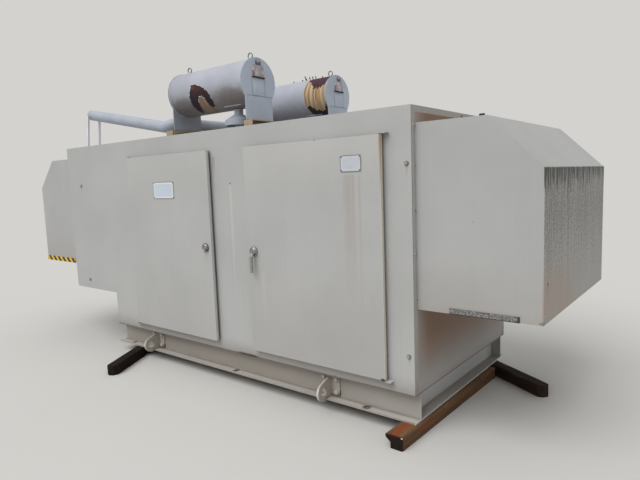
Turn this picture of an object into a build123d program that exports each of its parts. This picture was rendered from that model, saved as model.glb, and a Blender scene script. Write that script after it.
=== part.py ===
"""Generator set in a closed weather housing on a channel skid.

Frame: millimetres, +X to the right along the housing, +Y to the back, +Z up.
The origin is on the ground under the middle of the housing, whose doors face -Y.
"""
import os
from math import cos, radians, sin, tan

from build123d import *

# Housing
HOUSING_L = 4270.0
HOUSING_D = 1640.0
HOUSING_H = 1850.0
WALL_T = 50.0
ROOF_T = 40.0
FLOOR_T = 12.0
OVERHANG_L = 790.0
OVERHANG_RISE = 317.0

# Timber bearers and channel skid under the housing
BEARER_H = 90.0
BEARER_W = 105.0
SKID_H = 200.0
SKID_FLANGE = 80.0
SKID_WEB_T = 8.0
SKID_FLANGE_T = 11.0
ANCHOR_D = 26.0
ANCHOR_IN = 40.0
ANCHOR_LEFT_IN = 215.0
ANCHOR_RIGHT_IN = 405.0
CROSS_SPACING = 1150.0

# Each bearer's middle, measured in from the nearest end and long edge of the skid, its length, and
# the angle from X at which it lies, seen from above
SQUARE_BEARER_IN = (35.0, 555.0)
SQUARE_BEARER_L = 1510.0
SQUARE_BEARER_W = 130.0
SQUARE_BEARER_ANGLE = -91.2
BACK_BEARER_IN = (33.0, 195.0)
BACK_BEARER_L = 1250.0
BACK_BEARER_ANGLE = -31.0
LEFT_BEARER_IN = (377.0, -16.0)
LEFT_BEARER_L = 1100.0
LEFT_BEARER_ANGLE = -60.4
BEARER_TIP_WORN = 30.0
BEARER_EDGE_WORN = 9.0

# The splinter torn out of the square bearer's near end, under its left edge
TORN_W = 42.0
TORN_L = 110.0
TORN_RISE = 40.0
TORN_TOP = 74.0

# Lifting lugs on the skid
LUG_T = 16.0
LUG_NOSE_R = 70.0
LUG_EYE_D = 57.0
LUG_REACH = 28.0
LUG_EYE_RISE = 66.0
LUG_BASE_W = 160.0
LUG_BASE_H = 150.0
LUG_BASE_T = 12.0
LUG_NOTCH_CLEAR = 1.0
LUG_X = (-750.0, 1395.0)

# Doors, each measured in from its own end of the housing, from the bottom and down from the roof
LEFT_DOOR_IN = 1227.0
LEFT_DOOR_W = 1172.0
RIGHT_DOOR_IN = 195.0
RIGHT_DOOR_W = 1236.0
DOOR_SILL = 73.0
DOOR_HEAD = 164.0
DOOR_T = 34.0
DOOR_GAP = 14.0
DOOR_LAP = 40.0
LINER_DEPTH = 30.0
LINER_CLEAR = 10.0

# Door pivots
PIN_D = 10.0
PIN_CLEAR = 0.05
PIN_IN = 14.0
PIN_REACH = 24.0
PIVOT_GAP = 3.0
PIVOT_T = 6.0
PIVOT_W = 66.0
PIVOT_OVER = 40.0
PIVOT_DEPTH = 46.0

# Door latches; the right one is a turning cap on a rose, with a lever hanging from the cap
LATCH_D = 76.0
LATCH_T = 12.0
LATCH_Z = 876.0
LEFT_LATCH_IN = 68.0
RIGHT_LATCH_IN = 71.0
ROSE_D = 62.0
ROSE_T = 5.0
SPINDLE_D = 14.0
CAP_T = 11.0
CAP_PLAY = 0.6
CAP_EDGE_R = 3.0
SPINDLE_IN_CAP = 8.0
NECK_W = 14.0
NECK_T = 10.0
NECK_START = 20.0
NECK_DROP = 12.0
LEVER_T = 15.0
LEVER_W = 24.0
LEVER_TOP = 36.0
LEVER_L = 130.0
LEVER_STAND_OFF = 16.0

# Plates on the doors, middles measured from each door's left edge and the housing bottom
SIGN_W = 300.0
SIGN_H = 152.0
SIGN_AT = (563.0, 1368.0)
RATING_W = 168.0
RATING_H = 110.0
RATING_AT = (1008.0, 1511.0)
PLATE_T = 3.0
PLATE_R = 12.0

# Air hoods on the two end walls
HOOD_REACH = 775.0
HOOD_TOP_L = 459.0
HOOD_DROP = 108.0
HOOD_EDGE_RISE = 1433.0
HOOD_BOTTOM = 564.0
HOOD_INSET = 45.0
HOOD_T = 30.0
GUARD_T = 6.0
HAZARD_GUARD_H = 50.0
HAZARD_GUARD_L = 664.0
GREY_GUARD_H = 36.0
GREY_GUARD_L = 424.0
GREY_GUARD_IN = 223.0
STRIP_W = 32.0
STRIP_T = 4.0

# Air opening in each end wall, filled by louvre blades
AIR_W = 1300.0
AIR_H = 960.0
AIR_RISE = 660.0
LOUVRE_FRAME = 40.0
LOUVRE_BLADES = 9
LOUVRE_BLADE_T = 6.0
LOUVRE_BLADE_W = 90.0

# Silencers lying along the roof
DRUM_R = 192.0
DRUM_PLATE_R = 197.0
DRUM_PLATE_T = 8.0
DRUM_LEG_W = 310.0
DRUM_RISE = 374.0
DRUM_IN = 272.0
DRUM_X0 = -352.0
DRUM_X1 = 595.0
EYE_R = 24.0
EYE_BAR_R = 5.0
EYE_SHANK_R = 7.0
EYE_IN = 80.0

# Cross rails under the silencers
RAIL_H = 57.0
RAIL_W = 95.0
RAIL_T = 7.0
RAIL_PAST_LEG = 25.0

# Exhaust inlets under the silencers, each with a rain skirt
INLET_X = 345.0
INLET_R = 38.0
SKIRT_R = 119.0
SKIRT_TOP_R = 47.0
SKIRT_LOW = 46.0
SKIRT_EDGE = 92.0
SKIRT_TOP = 135.0
SKIRT_T = 5.0

# Tail pipe: it falls from its open end to a knee and climbs a little to a manifold across the roof
PIPE_R = 54.0
PIPE_BORE_R = 49.5
PIPE_BEND_R = 88.0
PIPE_IN = 225.0
PIPE_END_X = -1950.0
PIPE_END_RISE = 362.0
KNEE_OUT = 125.0
KNEE_RISE = 117.0
MANIFOLD_X = -499.0
MANIFOLD_RISE = 140.0
BRANCH_IN = 108.0
BRANCH_R = 45.0

# Leaning posts on both sides of the tail pipe's open end
POST_BAR = 20.0
POST_FOOT_OUT = 15.0
POST_LEAN = 9.0
POST_PLAY = 1.2

# Heights and edges worked out from the sizes above
SKID_Z = BEARER_H
FLOOR_Z = BEARER_H + SKID_H
ROOF_Z = FLOOR_Z + HOUSING_H
LEFT_X = -HOUSING_L / 2
RIGHT_X = HOUSING_L / 2
SKID_X0 = LEFT_X + OVERHANG_L
FRONT_Y = -HOUSING_D / 2
BACK_Y = HOUSING_D / 2
OVERHANG_Z = FLOOR_Z + OVERHANG_RISE
DOOR_H = HOUSING_H - DOOR_SILL - DOOR_HEAD
DRUM_Z = ROOF_Z + DRUM_RISE
DRUM_Y = BACK_Y - DRUM_IN
PIPE_Y = FRONT_Y + PIPE_IN
BRANCH_Y = BRANCH_IN - DRUM_Y
KNEE_X = MANIFOLD_X - KNEE_OUT
DOORWAY_SILL_Z = FLOOR_Z + DOOR_SILL + DOOR_LAP
DOORWAY_HEAD_Z = ROOF_Z - DOOR_HEAD - DOOR_LAP

os.makedirs("parts", exist_ok=True)


def keep(builder, label):
    """Label a finished piece and write it as its own file."""
    builder.part.label = label
    export_step(builder.part, f"parts/{label}.step")


def block(x0, x1, y0, y1, z0, z1):
    """A plain block between two corners."""
    with BuildPart() as made:
        with Locations(((x0 + x1) / 2, (y0 + y1) / 2, (z0 + z1) / 2)):
            Box(x1 - x0, y1 - y0, z1 - z0)
    return made


def long_wall(y_plane):
    """A full long wall, stepped up where the left bay overhangs the skid."""
    with BuildPart() as made:
        with BuildSketch(Plane.XZ.offset(-y_plane)):
            with BuildLine():
                Polyline(
                    (LEFT_X, OVERHANG_Z), (SKID_X0, OVERHANG_Z), (SKID_X0, FLOOR_Z),
                    (RIGHT_X, FLOOR_Z), (RIGHT_X, ROOF_Z - ROOF_T), (LEFT_X, ROOF_Z - ROOF_T), close=True)
            make_face()
        extrude(amount=-WALL_T)
    return made


def end_wall(x_plane, bottom_z):
    """An end wall between the long walls, with the air opening cut through it."""
    opening_z = FLOOR_Z + AIR_RISE + AIR_H / 2
    top_z = ROOF_Z - ROOF_T
    with BuildPart() as made:
        with BuildSketch(Plane.YZ.offset(x_plane)):
            with Locations((0, (bottom_z + top_z) / 2)):
                Rectangle(HOUSING_D - 2 * WALL_T, top_z - bottom_z)
            with Locations((0, opening_z)):
                Rectangle(AIR_W, AIR_H, mode=Mode.SUBTRACT)
        extrude(amount=WALL_T)
    return made


def louvre(x_plane, slope):
    """A frame with sloping blades that fills an air opening."""
    middle_z = FLOOR_Z + AIR_RISE + AIR_H / 2
    blade_pitch = (AIR_H - 2 * LOUVRE_FRAME) / LOUVRE_BLADES
    with BuildPart() as made:
        with BuildSketch(Plane.YZ.offset(x_plane)):
            with Locations((0, middle_z)):
                Rectangle(AIR_W, AIR_H)
                Rectangle(AIR_W - 2 * LOUVRE_FRAME, AIR_H - 2 * LOUVRE_FRAME, mode=Mode.SUBTRACT)
        extrude(amount=WALL_T)
        for count in range(LOUVRE_BLADES):
            blade_z = middle_z + (count - (LOUVRE_BLADES - 1) / 2) * blade_pitch
            with Locations(Location((x_plane + WALL_T / 2, 0, blade_z), (0, slope, 0))):
                Box(LOUVRE_BLADE_T, AIR_W - 2 * LOUVRE_FRAME, LOUVRE_BLADE_W * 0.7)
    return made


def hood_points(side):
    """Outer outline of an air hood in X and Z; side is +1 on the right end, -1 on the left."""
    wall_x = side * HOUSING_L / 2
    return [
        (wall_x, ROOF_Z - HOOD_DROP),
        (wall_x + side * HOOD_TOP_L, ROOF_Z - HOOD_DROP),
        (wall_x + side * HOOD_REACH, FLOOR_Z + HOOD_EDGE_RISE),
        (wall_x + side * HOOD_REACH, FLOOR_Z + HOOD_BOTTOM),
    ]


def hood_cowl(side):
    """Top, sloping and outer sheet of a hood, bent in one and open underneath."""
    half = HOUSING_D / 2 - HOOD_INSET - HOOD_T
    with BuildPart() as made:
        with BuildSketch(Plane.XZ.offset(-half)):
            with BuildLine():
                spine = Polyline(*hood_points(side))
                offset(spine, amount=HOOD_T, side=Side.RIGHT if side > 0 else Side.LEFT)
            make_face()
        extrude(amount=2 * half)
    return made


def hood_cheeks(side):
    """Front and back side plates of a hood."""
    wall_x = side * HOUSING_L / 2
    half = HOUSING_D / 2 - HOOD_INSET
    with BuildPart() as made:
        for outer_y in (half, -half + HOOD_T):
            with BuildSketch(Plane.XZ.offset(-outer_y)):
                with BuildLine():
                    Polyline(*hood_points(side), (wall_x, FLOOR_Z + HOOD_BOTTOM), close=True)
                make_face()
            extrude(amount=HOOD_T)
    return made


def channel_along_x(x0, x1, web_y, outward):
    """A skid channel along X; outward is -1 where its flanges point to the front."""
    with BuildPart() as made:
        with BuildSketch(Plane.YZ.offset(x0)):
            with Locations((web_y - outward * SKID_WEB_T / 2, SKID_Z + SKID_H / 2)):
                Rectangle(SKID_WEB_T, SKID_H)
            for flange_z in (SKID_Z + SKID_FLANGE_T / 2, SKID_Z + SKID_H - SKID_FLANGE_T / 2):
                with Locations((web_y + outward * SKID_FLANGE / 2, flange_z)):
                    Rectangle(SKID_FLANGE, SKID_FLANGE_T)
        extrude(amount=x1 - x0)
        hole_xs = (x0 + ANCHOR_LEFT_IN, (x0 + x1) / 2, x1 - ANCHOR_RIGHT_IN)
        with BuildSketch(Plane.XY.offset(SKID_Z)):
            with Locations(*[(x, web_y + outward * (SKID_FLANGE - ANCHOR_IN)) for x in hole_xs]):
                Circle(ANCHOR_D / 2)
        extrude(amount=SKID_FLANGE_T, mode=Mode.SUBTRACT)
    return made


def door_leaf(left_x, width, pin_x):
    """A door leaf with the lining box on its back and a pivot bore at its top and bottom."""
    bottom_z = FLOOR_Z + DOOR_SILL
    leaf_back = FRONT_Y - DOOR_GAP
    lining_in = DOOR_LAP + LINER_CLEAR
    lining_top = DOORWAY_HEAD_Z - LINER_CLEAR
    lining_bottom = DOORWAY_SILL_Z + LINER_CLEAR
    with BuildPart() as made:
        with Locations((left_x + width / 2, leaf_back - DOOR_T / 2, bottom_z + DOOR_H / 2)):
            Box(width, DOOR_T, DOOR_H)
        with Locations((left_x + width / 2, leaf_back + (DOOR_GAP + LINER_DEPTH) / 2,
                        (lining_top + lining_bottom) / 2)):
            Box(width - 2 * lining_in, DOOR_GAP + LINER_DEPTH, lining_top - lining_bottom)
        for bore_z, into in ((bottom_z, 1), (bottom_z + DOOR_H, -1)):
            with BuildSketch(Plane.XY.offset(bore_z)):
                with Locations((pin_x, leaf_back - DOOR_T / 2)):
                    Circle(PIN_D / 2 + PIN_CLEAR)
            extrude(amount=into * (PIN_REACH + PIVOT_GAP), mode=Mode.SUBTRACT)
    return made


def silencer_plates(drum_y):
    """The two end plates of a silencer, each a disc drawn down into a straight foot."""
    with BuildPart() as made:
        for plate_x in (DRUM_X0, DRUM_X1 - DRUM_PLATE_T):
            with BuildSketch(Plane.YZ.offset(plate_x)):
                with Locations((drum_y, DRUM_Z)):
                    Circle(DRUM_PLATE_R)
                with Locations((drum_y, (DRUM_Z + ROOF_Z + RAIL_H) / 2)):
                    Rectangle(DRUM_LEG_W, DRUM_Z - ROOF_Z - RAIL_H)
            extrude(amount=DRUM_PLATE_T)
    return made


def bearer(at, length, width, turn, tip_worn):
    """A timber lying on the ground, its top edges worn and the corners of its far end worn off."""
    along = (cos(radians(turn)), sin(radians(turn)), 0)
    with BuildPart() as made:
        with BuildSketch(Plane(origin=(*at, 0), x_dir=along)):
            Rectangle(length, width)
        extrude(amount=BEARER_H)
        chamfer(made.edges().filter_by(Axis.Z).sort_by(Axis((0, 0, 0), along))[-2:], tip_worn)
        chamfer(made.faces().sort_by(Axis.Z)[-1].edges(), BEARER_EDGE_WORN)
    return made


# Housing shell: the front wall is split beside, under and over the two doorways
left_door_x0 = LEFT_X + LEFT_DOOR_IN
left_door_x1 = left_door_x0 + LEFT_DOOR_W
right_door_x1 = RIGHT_X - RIGHT_DOOR_IN
right_door_x0 = right_door_x1 - RIGHT_DOOR_W
wall_top_z = ROOF_Z - ROOF_T
front_back_y = FRONT_Y + WALL_T

with BuildPart() as front_wall_left:
    with BuildSketch(Plane.XZ.offset(-FRONT_Y)):
        with BuildLine():
            Polyline(
                (LEFT_X, OVERHANG_Z), (SKID_X0, OVERHANG_Z), (SKID_X0, FLOOR_Z),
                (left_door_x0 + DOOR_LAP, FLOOR_Z), (left_door_x0 + DOOR_LAP, wall_top_z),
                (LEFT_X, wall_top_z), close=True)
        make_face()
    extrude(amount=-WALL_T)
keep(front_wall_left, "front_wall_left")

keep(block(left_door_x1 - DOOR_LAP, right_door_x0 + DOOR_LAP, FRONT_Y, front_back_y, FLOOR_Z, wall_top_z),
     "front_wall_post")
keep(block(right_door_x1 - DOOR_LAP, RIGHT_X, FRONT_Y, front_back_y, FLOOR_Z, wall_top_z),
     "front_wall_right")

doorways = (
    (left_door_x0 + DOOR_LAP, left_door_x1 - DOOR_LAP),
    (right_door_x0 + DOOR_LAP, right_door_x1 - DOOR_LAP),
)
for name, low_z, high_z in (("front_wall_header", DOORWAY_HEAD_Z, wall_top_z),
                            ("front_wall_sill", FLOOR_Z, DOORWAY_SILL_Z)):
    with BuildPart() as strips:
        for x0, x1 in doorways:
            with Locations(((x0 + x1) / 2, FRONT_Y + WALL_T / 2, (low_z + high_z) / 2)):
                Box(x1 - x0, WALL_T, high_z - low_z)
    keep(strips, name)

keep(long_wall(BACK_Y - WALL_T), "back_wall")
keep(end_wall(RIGHT_X - WALL_T, FLOOR_Z), "right_end_wall")
keep(end_wall(LEFT_X, OVERHANG_Z), "left_end_wall")
keep(block(SKID_X0, SKID_X0 + WALL_T, front_back_y, BACK_Y - WALL_T, FLOOR_Z, OVERHANG_Z),
     "lower_left_wall")
keep(block(LEFT_X, RIGHT_X, FRONT_Y, BACK_Y, wall_top_z, ROOF_Z), "roof")

with BuildPart() as floors:
    for x0, x1, low_z, thickness in ((SKID_X0 + WALL_T, RIGHT_X - WALL_T, FLOOR_Z, FLOOR_T),
                                     (LEFT_X + WALL_T, SKID_X0, OVERHANG_Z, WALL_T)):
        with Locations(((x0 + x1) / 2, 0, low_z + thickness / 2)):
            Box(x1 - x0, HOUSING_D - 2 * WALL_T, thickness)
keep(floors, "floors")
keep(louvre(RIGHT_X - WALL_T, 45), "right_louvre")
keep(louvre(LEFT_X, -45), "left_louvre")

# Air hoods, their fixing strips and the guards on their lower edges
for name, side in (("right_hood", 1), ("left_hood", -1)):
    keep(hood_cowl(side), f"{name}_cowl")
    keep(hood_cheeks(side), f"{name}_cheeks")

with BuildPart() as hood_strips:
    strip_z0 = FLOOR_Z + HOOD_BOTTOM
    strip_z1 = ROOF_Z - HOOD_DROP
    strip_y = HOUSING_D / 2 - HOOD_INSET + STRIP_W / 2
    for side in (-1, 1):
        with Locations((side * (RIGHT_X + STRIP_T / 2), strip_y, (strip_z0 + strip_z1) / 2),
                       (side * (RIGHT_X + STRIP_T / 2), -strip_y, (strip_z0 + strip_z1) / 2)):
            Box(STRIP_T, STRIP_W, strip_z1 - strip_z0)
keep(hood_strips, "hood_strips")

guard_y1 = -(HOUSING_D / 2 - HOOD_INSET)
guard_y0 = guard_y1 - GUARD_T
guard_z = FLOOR_Z + HOOD_BOTTOM
hazard_x0 = LEFT_X - HOOD_REACH
grey_x0 = RIGHT_X + GREY_GUARD_IN
keep(block(hazard_x0, hazard_x0 + HAZARD_GUARD_L, guard_y0, guard_y1, guard_z, guard_z + HAZARD_GUARD_H),
     "left_hood_guard")
keep(block(grey_x0, grey_x0 + GREY_GUARD_L, guard_y0, guard_y1, guard_z, guard_z + GREY_GUARD_H),
     "right_hood_guard")

# Skid: long channels with their flanges outward, end channels and cross members between them
web_y = HOUSING_D / 2 - SKID_FLANGE
keep(channel_along_x(SKID_X0, RIGHT_X, -web_y, -1), "skid_front")
keep(channel_along_x(SKID_X0, RIGHT_X, web_y, 1), "skid_back")

with BuildPart() as skid_cross:
    cross_l = 2 * (web_y - SKID_WEB_T)
    cross_spots = (
        (SKID_X0 + SKID_FLANGE, -1), (SKID_X0 + CROSS_SPACING, -1),
        (RIGHT_X - CROSS_SPACING, 1), (RIGHT_X - SKID_FLANGE, 1),
    )
    for web_x, outward in cross_spots:
        with BuildSketch(Plane.XZ.offset(-cross_l / 2)):
            with Locations((web_x - outward * SKID_WEB_T / 2, SKID_Z + SKID_H / 2)):
                Rectangle(SKID_WEB_T, SKID_H)
            for flange_z in (SKID_Z + SKID_FLANGE_T / 2, SKID_Z + SKID_H - SKID_FLANGE_T / 2):
                with Locations((web_x + outward * SKID_FLANGE / 2, flange_z)):
                    Rectangle(SKID_FLANGE, SKID_FLANGE_T)
        extrude(amount=cross_l)
keep(skid_cross, "skid_cross_members")

# Lifting lugs: a base plate on the web and an eye plate standing out past the flanges
with BuildPart() as lifting_lugs:
    root_y = -web_y - LUG_BASE_T
    for lug_x in LUG_X:
        with Locations((lug_x, root_y + LUG_BASE_T / 2, SKID_Z + SKID_H / 2)):
            Box(LUG_BASE_W, LUG_BASE_T, LUG_BASE_H)
        with BuildSketch(Plane.YZ.offset(lug_x - LUG_T / 2)):
            with Locations((FRONT_Y - LUG_REACH, SKID_Z + LUG_EYE_RISE)):
                Circle(LUG_NOSE_R)
            with Locations((root_y - LUG_T / 2, SKID_Z + SKID_H / 2)):
                Rectangle(LUG_T, LUG_BASE_H - LUG_T)
            make_hull()
            with Locations((FRONT_Y - LUG_REACH, SKID_Z + LUG_EYE_RISE)):
                Circle(LUG_EYE_D / 2, mode=Mode.SUBTRACT)
            with Locations((FRONT_Y - LUG_NOTCH_CLEAR, SKID_Z + SKID_FLANGE_T + LUG_NOTCH_CLEAR)):
                Rectangle(SKID_FLANGE, LUG_BASE_H, align=(Align.MIN, Align.MAX), mode=Mode.SUBTRACT)
        extrude(amount=LUG_T)
    mirror(about=Plane.XZ)
keep(lifting_lugs, "lifting_lugs")

# Timber bearers on the ground: one nearly square to the skid, the others lying askew
square_at = (RIGHT_X - SQUARE_BEARER_IN[0], FRONT_Y + SQUARE_BEARER_IN[1])
back_at = (RIGHT_X - BACK_BEARER_IN[0], BACK_Y - BACK_BEARER_IN[1])
left_at = (SKID_X0 + LEFT_BEARER_IN[0], FRONT_Y + LEFT_BEARER_IN[1])
square = bearer(square_at, SQUARE_BEARER_L, SQUARE_BEARER_W, SQUARE_BEARER_ANGLE, BEARER_EDGE_WORN)
square_along = (cos(radians(SQUARE_BEARER_ANGLE)), sin(radians(SQUARE_BEARER_ANGLE)), 0)
square_across = (-square_along[1], square_along[0], 0)
with BuildPart() as bearer_right:
    add(square.part)
    with BuildSketch(Plane(origin=(*square_at, 0), x_dir=square_across, z_dir=square_along)
                     .offset(SQUARE_BEARER_L / 2)):
        with BuildLine():
            Polyline(
                (-SQUARE_BEARER_W / 2, 0), (TORN_W - SQUARE_BEARER_W / 2, 0),
                (TORN_W - SQUARE_BEARER_W / 2, TORN_RISE), (-SQUARE_BEARER_W / 2, TORN_TOP), close=True)
        make_face()
    extrude(amount=-TORN_L, mode=Mode.SUBTRACT)
keep(bearer_right, "bearer_right")
keep(bearer(back_at, BACK_BEARER_L, BEARER_W, BACK_BEARER_ANGLE, BEARER_TIP_WORN), "bearer_right_back")
bearer_left = bearer(left_at, LEFT_BEARER_L, BEARER_W, LEFT_BEARER_ANGLE, BEARER_TIP_WORN)
with BuildPart() as bearers_left:
    add(bearer_left.part)
    mirror(about=Plane.XZ)
keep(bearers_left, "bearers_left")

# Front doors on pivot pins held by small brackets above and below each leaf
pin_y = FRONT_Y - DOOR_GAP - DOOR_T / 2
left_pin_x = left_door_x0 + PIN_IN
right_pin_x = right_door_x1 - PIN_IN
keep(door_leaf(left_door_x0, LEFT_DOOR_W, left_pin_x), "left_door")
keep(door_leaf(right_door_x0, RIGHT_DOOR_W, right_pin_x), "right_door")

with BuildPart() as door_pivots:
    bracket_shift = PIVOT_OVER - PIVOT_W / 2
    bottom_z = FLOOR_Z + DOOR_SILL
    for edge_x, pin_x, outward in ((left_door_x0, left_pin_x, -1), (right_door_x1, right_pin_x, 1)):
        for leaf_z, up in ((bottom_z, -1), (bottom_z + DOOR_H, 1)):
            face_z = leaf_z + up * PIVOT_GAP
            with Locations((edge_x + outward * bracket_shift, FRONT_Y - PIVOT_DEPTH / 2,
                            face_z + up * PIVOT_T / 2)):
                Box(PIVOT_W, PIVOT_DEPTH, PIVOT_T)
            with BuildSketch(Plane.XY.offset(face_z)):
                with Locations((pin_x, pin_y)):
                    Circle(PIN_D / 2)
            extrude(amount=-up * PIN_REACH)
keep(door_pivots, "door_pivots")

# Round latches and the lever
leaf_front = FRONT_Y - DOOR_GAP - DOOR_T
left_latch_x = left_door_x1 - LEFT_LATCH_IN
right_latch_x = right_door_x0 + RIGHT_LATCH_IN
latch_z = FLOOR_Z + LATCH_Z

with BuildPart() as left_latch:
    with BuildSketch(Plane.XZ.offset(-leaf_front)):
        with Locations((left_latch_x, latch_z)):
            Circle(LATCH_D / 2)
    extrude(amount=LATCH_T)
    fillet(left_latch.edges().group_by(Axis.Y)[0], LATCH_T / 4)
keep(left_latch, "left_latch")

cap_back = leaf_front - ROSE_T - CAP_PLAY
cap_front = cap_back - CAP_T
bar_back = cap_front - LEVER_STAND_OFF
bar_top_z = latch_z - LEVER_TOP

with BuildPart() as right_latch:
    for diameter, reach in ((ROSE_D, ROSE_T), (SPINDLE_D, ROSE_T + SPINDLE_IN_CAP)):
        with BuildSketch(Plane.XZ.offset(-leaf_front)):
            with Locations((right_latch_x, latch_z)):
                Circle(diameter / 2)
        extrude(amount=reach)
keep(right_latch, "right_latch")

# The lever hangs clear of the cap on a sloping neck, and turns with it on the spindle
with BuildPart() as latch_lever:
    with BuildSketch(Plane.XZ.offset(-cap_back)):
        with Locations((right_latch_x, latch_z)):
            Circle(LATCH_D / 2)
    extrude(amount=CAP_T)
    fillet(latch_lever.edges().group_by(Axis.Y)[0], CAP_EDGE_R)
    with BuildSketch(Plane.XZ.offset(-cap_back)):
        with Locations((right_latch_x, latch_z)):
            Circle(SPINDLE_D / 2 + PIN_CLEAR)
    extrude(amount=SPINDLE_IN_CAP, mode=Mode.SUBTRACT)
    with BuildSketch(Plane.XZ.offset(-bar_back)):
        with Locations((right_latch_x, bar_top_z - LEVER_L / 2)):
            RectangleRounded(LEVER_W, LEVER_L, LEVER_W / 3)
    extrude(amount=LEVER_T)
    with BuildSketch(Plane.YZ.offset(right_latch_x - NECK_W / 2)):
        with BuildLine():
            Polyline(
                (cap_front, latch_z - NECK_START), (cap_front, latch_z - NECK_START - NECK_T),
                (bar_back, bar_top_z - NECK_DROP - NECK_T), (bar_back, bar_top_z - NECK_DROP + NECK_T),
                close=True)
        make_face()
    extrude(amount=NECK_W)
keep(latch_lever, "latch_lever")

# Plates on the doors
for name, door_x, at, width, height in (
        ("sign_plate", left_door_x0, SIGN_AT, SIGN_W, SIGN_H),
        ("rating_plate", right_door_x0, RATING_AT, RATING_W, RATING_H)):
    with BuildPart() as plate:
        with BuildSketch(Plane.XZ.offset(-leaf_front)):
            with Locations((door_x + at[0], FLOOR_Z + at[1])):
                RectangleRounded(width, height, PLATE_R)
        extrude(amount=PLATE_T)
    keep(plate, name)

# Fixed doors on the back, laid out like the front ones
with BuildPart() as back_doors:
    door_z = FLOOR_Z + DOOR_SILL
    for door_x, width in ((left_door_x0, LEFT_DOOR_W), (right_door_x0, RIGHT_DOOR_W)):
        with Locations((door_x + width / 2, BACK_Y + (DOOR_T + DOOR_GAP) / 2, door_z + DOOR_H / 2)):
            Box(width, DOOR_T + DOOR_GAP, DOOR_H)
keep(back_doors, "back_doors")

# Silencers
for name, drum_y in (("silencer_front", -DRUM_Y), ("silencer_back", DRUM_Y)):
    with BuildPart() as drum:
        with BuildSketch(Plane.YZ.offset(DRUM_X0 + DRUM_PLATE_T)):
            with Locations((drum_y, DRUM_Z)):
                Circle(DRUM_R)
        extrude(amount=DRUM_X1 - DRUM_X0 - 2 * DRUM_PLATE_T)
    keep(drum, f"{name}_drum")
    keep(silencer_plates(drum_y), f"{name}_plates")

with BuildPart() as lifting_eyes:
    for drum_y in (-DRUM_Y, DRUM_Y):
        for eye_x in (DRUM_X1 - EYE_IN, DRUM_X0 + EYE_IN):
            eye_z = DRUM_Z + DRUM_R + EYE_R + EYE_BAR_R
            with Locations(Location((eye_x, drum_y, eye_z), (90, 0, 0))):
                Torus(EYE_R, EYE_BAR_R)
            with BuildSketch(Plane.XY.offset(DRUM_Z + DRUM_R)):
                with Locations((eye_x, drum_y)):
                    Circle(EYE_SHANK_R)
            extrude(amount=EYE_BAR_R)
keep(lifting_eyes, "lifting_eyes")

with BuildPart() as exhaust_inlets:
    for drum_y in (-DRUM_Y, DRUM_Y):
        with BuildSketch(Plane(origin=(INLET_X, drum_y, ROOF_Z), x_dir=(1, 0, 0), z_dir=(0, -1, 0))):
            with BuildLine():
                Polyline(
                    (SKIRT_R, SKIRT_LOW), (SKIRT_R, SKIRT_EDGE), (SKIRT_TOP_R, SKIRT_TOP),
                    (INLET_R, SKIRT_TOP), (INLET_R, SKIRT_TOP - SKIRT_T),
                    (SKIRT_TOP_R, SKIRT_TOP - SKIRT_T), (SKIRT_R - SKIRT_T, SKIRT_EDGE - SKIRT_T),
                    (SKIRT_R - SKIRT_T, SKIRT_LOW), close=True)
            make_face()
        revolve(axis=Axis((INLET_X, drum_y, 0), (0, 0, 1)))
        with BuildSketch(Plane.XY.offset(ROOF_Z)):
            with Locations((INLET_X, drum_y)):
                Circle(INLET_R)
        extrude(amount=DRUM_RISE - DRUM_R)
keep(exhaust_inlets, "exhaust_inlets")

# Cross rails: channels open outward, closed at their ends
rail_l = 2 * (DRUM_Y + DRUM_LEG_W / 2 + RAIL_PAST_LEG)
with BuildPart() as cross_rails:
    for inner_x, outward in ((DRUM_X1 - DRUM_PLATE_T, 1), (DRUM_X0 + DRUM_PLATE_T, -1)):
        with Locations((inner_x + outward * RAIL_W / 2, 0, ROOF_Z + RAIL_H / 2)):
            Box(RAIL_W, rail_l, RAIL_H)
        with Locations((inner_x + outward * (RAIL_W + RAIL_T) / 2, 0, ROOF_Z + RAIL_H / 2)):
            Box(RAIL_W - RAIL_T, rail_l - 2 * RAIL_T, RAIL_H - 2 * RAIL_T, mode=Mode.SUBTRACT)
keep(cross_rails, "cross_rails")

# Tail pipe from the back silencer, past the front one, to the open end over the left bay
with BuildPart() as tail_pipe:
    run_z = ROOF_Z + MANIFOLD_RISE
    with BuildLine() as pipe_route:
        FilletPolyline(
            (PIPE_END_X, PIPE_Y, ROOF_Z + PIPE_END_RISE), (KNEE_X, PIPE_Y, ROOF_Z + KNEE_RISE),
            (MANIFOLD_X, PIPE_Y, run_z), (MANIFOLD_X, DRUM_Y, run_z), (MANIFOLD_X, DRUM_Y, DRUM_Z),
            (DRUM_X0, DRUM_Y, DRUM_Z), radius=PIPE_BEND_R)
    with BuildSketch(Plane(pipe_route.line @ 0, z_dir=pipe_route.line % 0)):
        Circle(PIPE_R)
        Circle(PIPE_BORE_R, mode=Mode.SUBTRACT)
    sweep(path=pipe_route.line)
    with BuildLine() as branch_route:
        FilletPolyline(
            (MANIFOLD_X, BRANCH_Y, run_z), (MANIFOLD_X, BRANCH_Y, DRUM_Z), (DRUM_X0, BRANCH_Y, DRUM_Z),
            radius=PIPE_BEND_R)
    with BuildSketch(Plane(branch_route.line @ 0, z_dir=branch_route.line % 0)):
        Circle(BRANCH_R)
    sweep(path=branch_route.line)
    with BuildSketch(Plane.XZ.offset(-BRANCH_Y - BRANCH_R)):
        with Locations((MANIFOLD_X, run_z)):
            Circle(PIPE_BORE_R)
    extrude(amount=2 * BRANCH_R, mode=Mode.SUBTRACT)
keep(tail_pipe, "tail_pipe")

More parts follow.
